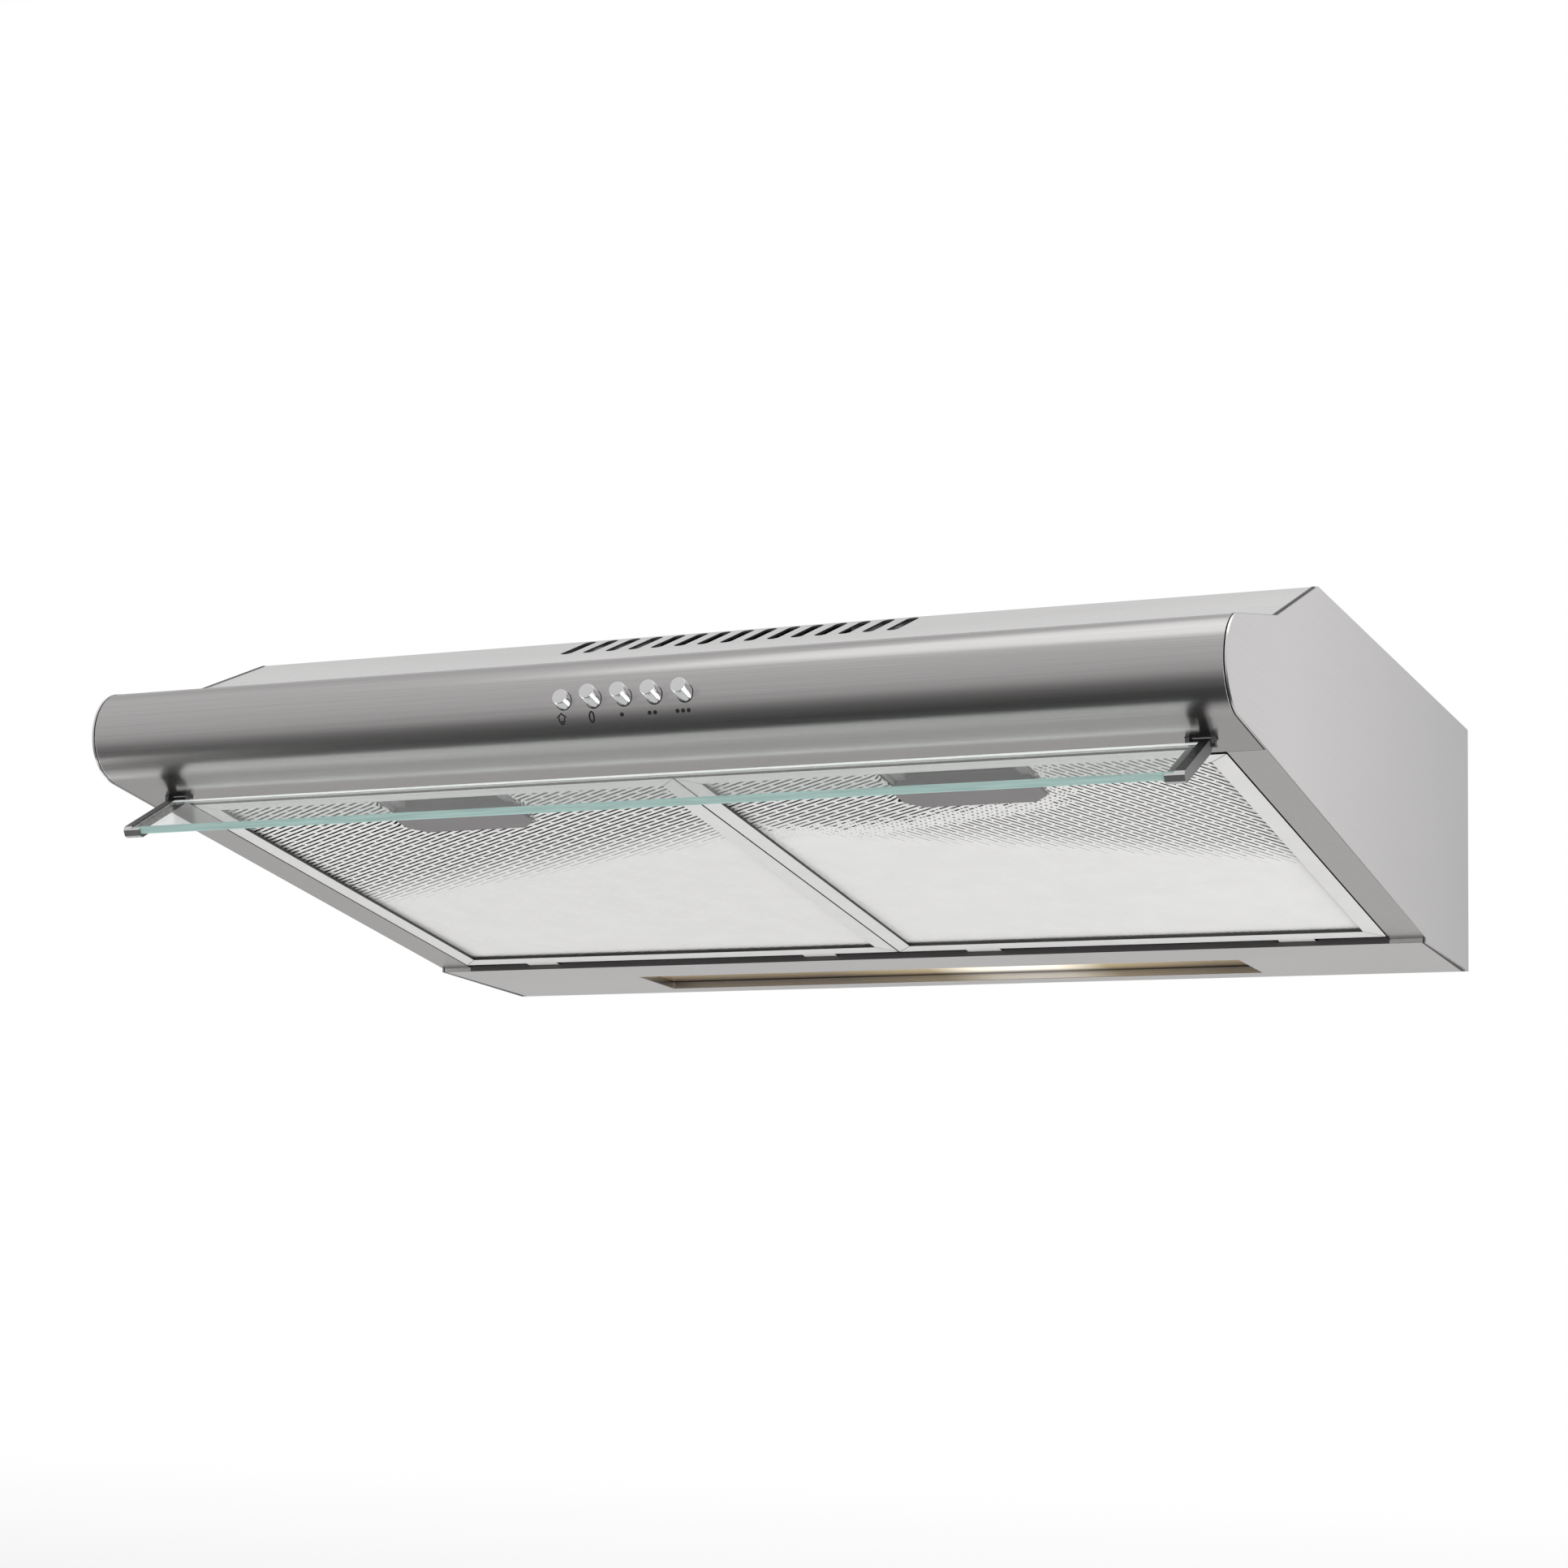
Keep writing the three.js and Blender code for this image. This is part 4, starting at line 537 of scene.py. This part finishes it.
for key, names in FINISHES.items():
    for name in names:
        dress(name, key)
dress_body()
for side, way in (("right", 1), ("left", -1)):
    dress_side(side, way)
dress_pane()


# ---------------------------------------------------------------- new pieces


def piece(name, vertices, faces, key, body, matrix=Matrix()):
    """A new mesh with a finish, riding on a CAD body."""
    mesh = bpy.data.meshes.new(name)
    mesh.from_pydata([tuple(matrix @ Vector(v)) for v in vertices], [], faces)
    mesh.materials.append(MATERIALS[key])
    mesh.update()
    obj = bpy.data.objects.new(name, mesh)
    bpy.context.scene.collection.objects.link(obj)
    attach(obj, body)
    return obj


def bay_matrix(side):
    """From the filter plane to the frame; the left filter mirrors the right one."""
    return BAY @ Matrix.Scale(-1, 4, (1, 0, 0)) if side == "left" else BAY


# Expanded foils. Each slit is a cell of the sheet, as (length, width), with an opening in it.
SHALLOW_TURN = math.radians(30)
STEEP_TURN = math.radians(58)
SHALLOW_CELL = (0.0240, 0.0033)
STEEP_CELL = (0.0160, 0.0036)
INNER_CELL = (0.0110, 0.0062)
OPENING = (0.95, 0.62)          # of the cell's length and width
OPENING_SQUARENESS = 0.88
OUTER_LIP = 0.00022
INNER_LIP = 0.0004
SHALLOW_Z = MESH_Z[0] + 0.0003
STEEP_Z = MESH_Z[0] + 0.00036
INNER_Z = MESH_Z[1] - 0.0005
SHEET_MIDDLE = (0.14, 0.15)
SHEET_REACH = 0.42
CLOSED_SHARE = 0.88             # how much narrower the slits are at the rear
CLOSING_Y, CLOSING_SLANT = 0.085, 0.32
CLOSING_WIDTH = 0.07            # of the band where they close
FOIL_OVERLAP = 0.014            # of the right filter's two outer foils
LEAST_FACE = 1e-8               # area of the smallest face kept, in square metres


def openness(x, y):
    """How far the slits are open: fully along the front, nearly closed at the rear."""
    edge = CLOSING_Y + CLOSING_SLANT * x
    fade = min(max((y - edge) / CLOSING_WIDTH + 0.5, 0.0), 1.0)
    return 1.0 - CLOSED_SHARE * fade * fade * (3 - 2 * fade)


def inside_bay(x, y, margin):
    """Whether a cell reaches onto the filter, outside the latch's notch, from up to margin away."""
    beside = MESH_X[0] - margin < x < MESH_X[1] + margin
    if not (beside and MESH_Y[0] - margin < y < MESH_Y[1] + margin):
        return False
    return not (NOTCH_X[0] + margin < x < NOTCH_X[1] - margin and y < NOTCH_END_Y - margin)


def lengthwise(x, y):
    """The part of the right filter where the slits run nearly along the hood."""
    end_x, end_y, taper_x, taper = 0.183, 0.097, 0.085, 0.28
    return x < end_x and y < end_y - taper * max(0.0, x - taper_x)


def crosswise(x, y):
    return not lengthwise(x + FOIL_OVERLAP, y + FOIL_OVERLAP)


def everywhere(x, y):
    return True


def slit_cell(half, rise, relief, open_share):
    """Outer and inner ring of one cell, as (along, across, up) about its middle."""
    a, b = OPENING[0] * half, OPENING[1] * rise * open_share
    c = a * OPENING_SQUARENESS
    outer = [(-half, 0, 0), (-half, -rise, 0), (0, -rise, 0), (half, -rise, 0),
             (half, 0, 0), (half, rise, 0), (0, rise, 0), (-half, rise, 0)]
    inner = [(-a, 0, 0), (-c, -b, -relief), (0, -b, -relief), (c, -b, -relief),
             (a, 0, 0), (c, b, relief), (0, b, relief), (-c, b, relief)]
    return outer + inner


def slit_sheet(turn, cell, z, relief, keep):
    """Vertices and faces of an expanded foil: rows of slits along turn, with raised lips."""
    length, width = cell
    along = Vector((math.cos(turn), math.sin(turn)))
    across = Vector((-along.y, along.x))
    rows, columns = int(SHEET_REACH / width), int(SHEET_REACH / length)
    vertices, faces = [], []
    for row in range(-rows, rows):
        for column in range(-columns, columns):
            centre = along * (column + 0.5 * (row % 2)) * length + across * row * width
            x, y = centre.x + SHEET_MIDDLE[0], centre.y + SHEET_MIDDLE[1]
            if not (inside_bay(x, y, length / 2) and keep(x, y)):
                continue
            first = len(vertices)
            for u, v, up in slit_cell(length / 2, width / 2, relief, openness(x, y)):
                place = along * u + across * v
                vertices.append((x + place.x, y + place.y, z + up))
            for k in range(8):
                after = (k + 1) % 8
                faces.append((first + k, first + after, first + 8 + after, first + 8 + k))
    return vertices, faces


def flat_area(corners):
    """Area of a polygon seen along Z."""
    pairs = zip(corners, corners[1:] + corners[:1])
    return abs(sum(a[0] * b[1] - b[0] * a[1] for a, b in pairs)) / 2


def clipped(vertices, faces):
    """Draws a sheet's edge cells back to the room for it and drops the faces that vanish."""
    kept = []
    for x, y, z in vertices:
        x = min(max(x, MESH_X[0]), MESH_X[1])
        y = min(max(y, MESH_Y[0]), MESH_Y[1])
        if NOTCH_X[0] < x < NOTCH_X[1] and y < NOTCH_END_Y:
            left, right, rear = x - NOTCH_X[0], NOTCH_X[1] - x, NOTCH_END_Y - y
            if rear <= min(left, right):
                y = NOTCH_END_Y
            else:
                x = NOTCH_X[0] if left < right else NOTCH_X[1]
        kept.append((x, y, z))
    return kept, [face for face in faces if flat_area([kept[i] for i in face]) > LEAST_FACE]


def filter_mesh(side):
    """Foils in place of the mesh's plain solid: a bright outer face, in two parts on the right, and an
    inner one with painted shade, near black.
    """
    turn = -SHALLOW_TURN if side == "right" else SHALLOW_TURN
    if side == "right":
        layers = [
            ("foil", slit_sheet(turn, SHALLOW_CELL, SHALLOW_Z, OUTER_LIP, lengthwise)),
            ("foil", slit_sheet(STEEP_TURN, STEEP_CELL, STEEP_Z, OUTER_LIP, crosswise)),
        ]
    else:
        layers = [("foil", slit_sheet(turn, SHALLOW_CELL, SHALLOW_Z, OUTER_LIP, everywhere))]
    # inner foil with painted shade
    layers.append(("foil_inner_painted_shade", slit_sheet(-turn, INNER_CELL, INNER_Z, INNER_LIP, everywhere)))
    for number, (key, sheet) in enumerate(layers, 1):
        vertices, faces = clipped(*sheet)
        name = f"{side}_foil_{number}"
        foil = piece(name, vertices, faces, key, f"{side}_filter", bay_matrix(side))
        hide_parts(f"{side}_filter_mesh")


def ribbon(a, b, width, z):
    """Corners of a flat ribbon from a to b at height z."""
    along = Vector((b[0] - a[0], b[1] - a[1])).normalized() * width / 2
    across = Vector((-along.y, along.x))
    points = [Vector(a) + across, Vector(a) - across, Vector(b) - across, Vector(b) + across]
    return [(p.x, p.y, z) for p in points]


def mitres(side):
    """Dark lines of the mitred frame corners, just below the frame's face."""
    width, z = 0.0003, -0.00003
    vertices, faces = [], []
    for x, inward_x in zip(FILTER_X, (FILTER_BAND, -FILTER_BAND)):
        for y, inward_y in zip(FILTER_Y, (FILTER_BAND, -FILTER_BAND)):
            first = len(vertices)
            faces.append(tuple(range(first, first + 4)))
            vertices += ribbon((x, y), (x + inward_x, y + inward_y), width, z)
    name = f"{side}_frame_mitres"
    piece(name, vertices, faces, "print_and_painted_shade", f"{side}_filter", bay_matrix(side))


for side in ("right", "left"):
    filter_mesh(side)
for side in ("right", "left"):
    mitres(side)


# Pictograms under the buttons, on the rounded front. Their outlines are in millimetres about
# their middle.
LINE = 0.8
SIGN_ARC = NOSE_RADIUS * math.radians(23.5)
SIGN_OFFSET_X = -0.0015
PRINT_LIFT = 0.00006


def on_nose(x, arc):
    """A point on the nose: arc is the way round it from its foremost line, downwards."""
    angle = arc / NOSE_RADIUS
    reach = NOSE_RADIUS + PRINT_LIFT
    y = NOSE_CENTRE[0] - reach * math.cos(angle)
    z = NOSE_CENTRE[1] - reach * math.sin(angle)
    return (x, y, z)


def printed_line(points, closed=True):
    """Ribbon faces along a line of (x, y) points, y upwards."""
    count = len(points)
    vertices, faces = [], []
    for i, point in enumerate(points):
        before = points[i - 1] if closed or i else point
        after = points[(i + 1) % count] if closed or i < count - 1 else point
        along = (Vector(after) - Vector(before)).normalized()
        across = Vector((-along.y, along.x)) * LINE / 2
        vertices += [Vector(point) + across, Vector(point) - across]
    for i in range(count if closed else count - 1):
        j = (i + 1) % count
        faces.append((2 * i, 2 * i + 1, 2 * j + 1, 2 * j))
    return vertices, faces


def oval(centre, radius_x, radius_y, sides):
    turns = [2 * math.pi * k / sides for k in range(sides)]
    return [Vector((centre[0] + radius_x * math.cos(t), centre[1] + radius_y * math.sin(t)))
            for t in turns]


def lamp_sign():
    house = [(0, 2.6), (2.3, 0.6), (1.4, 0.3), (1.4, -1.5), (-1.4, -1.5), (-1.4, 0.3), (-2.3, 0.6)]
    return [printed_line(house), printed_line([(-1.0, -2.5), (1.0, -2.5)], closed=False)]


def zero_sign():
    return [printed_line(oval((0, 0), 1.15, 2.6, 28))]


def dots_sign(count):
    pitch, radius, sides = 2.9, 1.0, 16
    centres = [((k - (count - 1) / 2) * pitch, 0.25) for k in range(count)]
    return [(oval(centre, radius, radius, sides), [tuple(range(sides))]) for centre in centres]


def pictogram(name, parts, x, arc):
    vertices, faces = [], []
    for outline, quads in parts:
        faces += [tuple(i + len(vertices) for i in quad) for quad in quads]
        vertices += [on_nose(x + v.x / 1000, arc - v.y / 1000) for v in outline]
    piece(name, vertices, faces, "print_and_painted_shade", "housing")


SIGNS = [
    ("sign_light", lamp_sign()),
    ("sign_stop", zero_sign()),
    ("sign_speed_1", dots_sign(1)),
    ("sign_speed_2", dots_sign(2)),
    ("sign_speed_3", dots_sign(3)),
]
for i, (name, parts) in enumerate(SIGNS):
    x = BUTTON_CENTRE_X + (i - 2) * BUTTON_PITCH + SIGN_OFFSET_X
    pictogram(name, parts, x, SIGN_ARC)


def rear_dark_strip():
    """Dark grey strip on the lamp strip's step, behind the two filters."""
    half_length, height = 0.2805, 0.0027
    y, z = STRIP_STEP_Y - 0.00003, UNDERSIDE_Z + 0.00005
    vertices = [(x, y, z + rise) for x in (-half_length, half_length) for rise in (0.0, height)]
    piece("rear_dark_strip", vertices, [(0, 1, 3, 2)], "dark_strip", "housing")


def joint_painted_shade(name, way, path, widths, lift):
    """Painted shade in the joint between a side panel and the folded sheets: a black ribbon along (Y,
    Z) points.
    """
    vertices = []
    for (y, z), width in zip(path, widths):
        vertices += [(way * JOINT_X, y, z + lift), (way * (JOINT_X - width), y, z + lift)]
    faces = [(2 * i, 2 * i + 1, 2 * i + 3, 2 * i + 2) for i in range(len(path) - 1)]
    piece(name, vertices, faces, "print_and_painted_shade", "housing")


def nose_point(degrees):
    turn = math.radians(degrees)
    y = NOSE_CENTRE[0] + NOSE_RADIUS * math.cos(turn)
    z = NOSE_CENTRE[1] + NOSE_RADIUS * math.sin(turn)
    return (y, z)


UPPER_JOINT = [nose_point(CROWN_ANGLE), VALLEY, CREASE]
LOWER_JOINT = [(STRIP_STEP_Y + 0.0005, UNDERSIDE_Z), (0.0240, UNDERSIDE_Z)]

rear_dark_strip()
for side, way in (("right", 1), ("left", -1)):
    # painted shade: black ribbons in the joints along the side panels
    joint_painted_shade(f"{side}_upper_joint_painted_shade", way, UPPER_JOINT, (0.0014, 0.0020, 0.0020), 0.0002)
    joint_painted_shade(f"{side}_lower_joint_painted_shade", way, LOWER_JOINT, (0.0010, 0.0026), -0.00006)


# ---------------------------------------------------------------- stage: floor, light, camera

# Level of the surround by the angle round X, in degrees up from the front
SURROUND = [
    (-180, 1.0), (-176, 0.85), (-168, 0.66), (-150, 0.44), (-120, 0.42), (-95, 0.4),
    (-85, 0.10), (-60, 0.10), (-20, 0.42), (0, 0.54), (40, 0.62), (100, 0.66),
    (134, 0.69), (146, 0.72), (149.5, 1.0), (180, 1.0),
]
FLOOR_Z = -2.4
FLOOR_LEVEL = (0.62, 0.62, 0.61)
FLAG_FRONT, FLAG_REAR = -7.1, 0.8
FLAG_LEVELS = [
    (FLAG_REAR, 0.62), (0.1, 0.42), (-0.26, 0.36), (-0.32, 0.03), (-1.6, 0.04),
    (-3.1, 0.16), (FLAG_FRONT, 0.6),
]

# name, place, aimed at, size, watts
LIGHTS = [
    ("overhead", (0.2, -0.3, 2.4), (0, -0.2, 0), (3.0, 2.4), 14),
    ("low_side", (1.8, -0.35, -1.05), (0, -0.2, -0.1), (2.0, 2.0), 28),
    ("low_left", (-2.6, -0.3, -1.05), (-0.15, -0.2, -0.1), (2.6, 2.6), 40),
]

CAMERA_PLACE = (0.714536, -1.799706, -0.431598)
CAMERA_TURN = (101.8722, -2.2386, 24.2097)      # degrees round X, Y and Z
SENSOR_WIDTH = 36.0             # millimetres, as is the focal length
FOCAL_LENGTH = 76.338


def world():
    """Soft studio surround: white behind the object, grey overhead and in front."""
    surround = bpy.data.worlds.new("studio")
    surround.use_nodes = True
    tree = surround.node_tree
    background = tree.nodes["Background"]
    background.inputs["Strength"].default_value = 1.0
    where = tree.nodes.new("ShaderNodeTexCoord")
    axes = tree.nodes.new("ShaderNodeSeparateXYZ")
    front = tree.nodes.new("ShaderNodeMath")
    front.operation = "MULTIPLY"
    front.inputs[1].default_value = -1.0
    angle = tree.nodes.new("ShaderNodeMath")
    angle.operation = "ARCTAN2"
    span = tree.nodes.new("ShaderNodeMapRange")
    span.inputs["From Min"].default_value = -math.pi
    span.inputs["From Max"].default_value = math.pi
    ramp = tree.nodes.new("ShaderNodeValToRGB")
    fill_ramp(ramp.color_ramp, [((turn + 180) / 360, grey(level)) for turn, level in SURROUND])
    link = tree.links.new
    link(where.outputs["Generated"], axes.inputs[0])
    link(axes.outputs["Y"], front.inputs[0])
    link(axes.outputs["Z"], angle.inputs[0])
    link(front.outputs[0], angle.inputs[1])
    link(angle.outputs[0], span.inputs["Value"])
    link(span.outputs["Result"], ramp.inputs["Fac"])
    link(ramp.outputs["Color"], background.inputs["Color"])
    bpy.context.scene.world = surround


def stage_plane(name, half_width, front, rear, z, material):
    """A level rectangle that isn't part of the object."""
    corners = [(-half_width, front, z), (half_width, front, z),
               (half_width, rear, z), (-half_width, rear, z)]
    mesh = bpy.data.meshes.new(name)
    mesh.from_pydata(corners, [], [(0, 1, 2, 3)])
    mesh.materials.append(material)
    obj = bpy.data.objects.new(name, mesh)
    bpy.context.scene.collection.objects.link(obj)
    return obj


def floor():
    n = Nodes("floor")
    n.set(Base_Color=(*FLOOR_LEVEL, 1.0), Roughness=0.8)
    stage_plane("floor", half_width=9, front=-8, rear=7, z=FLOOR_Z, material=n.material)


def dark_flag():
    """Card under the front that only reflections see: it gives the rounded nose its dark band."""
    n = Nodes("flag")
    n.set(Roughness=0.8)
    depth = n.span(n.axes()["Y"], 0.0, 1.0, (FLAG_REAR, FLAG_FRONT))
    length = FLAG_REAR - FLAG_FRONT
    n.feed(Base_Color=n.ramp(depth, [((FLAG_REAR - y) / length, grey(level))
                                     for y, level in FLAG_LEVELS]))
    flag = stage_plane("dark_flag", half_width=6, front=FLAG_FRONT, rear=FLAG_REAR,
                       z=FLOOR_Z + 0.002, material=n.material)
    flag.visible_camera = False
    flag.visible_diffuse = False
    flag.visible_transmission = False
    flag.visible_shadow = False


def area_light(name, place, target, size, power):
    light = bpy.data.lights.new(name, "AREA")
    light.shape = "RECTANGLE"
    light.size, light.size_y = size
    light.energy = power
    obj = bpy.data.objects.new(name, light)
    obj.location = place
    aim = Vector(target) - Vector(place)
    obj.rotation_euler = aim.to_track_quat("-Z", "Y").to_euler()
    bpy.context.scene.collection.objects.link(obj)


def photo_camera():
    data = bpy.data.cameras.new("camera")
    data.sensor_width = SENSOR_WIDTH
    data.lens = FOCAL_LENGTH
    data.clip_end = 50.0
    camera = bpy.data.objects.new("camera", data)
    camera.location = CAMERA_PLACE
    camera.rotation_euler = [math.radians(turn) for turn in CAMERA_TURN]
    bpy.context.scene.collection.objects.link(camera)
    bpy.context.scene.camera = camera


world()
floor()
dark_flag()
for light in LIGHTS:
    area_light(*light)
photo_camera()
bpy.context.scene.view_settings.view_transform = "Standard"
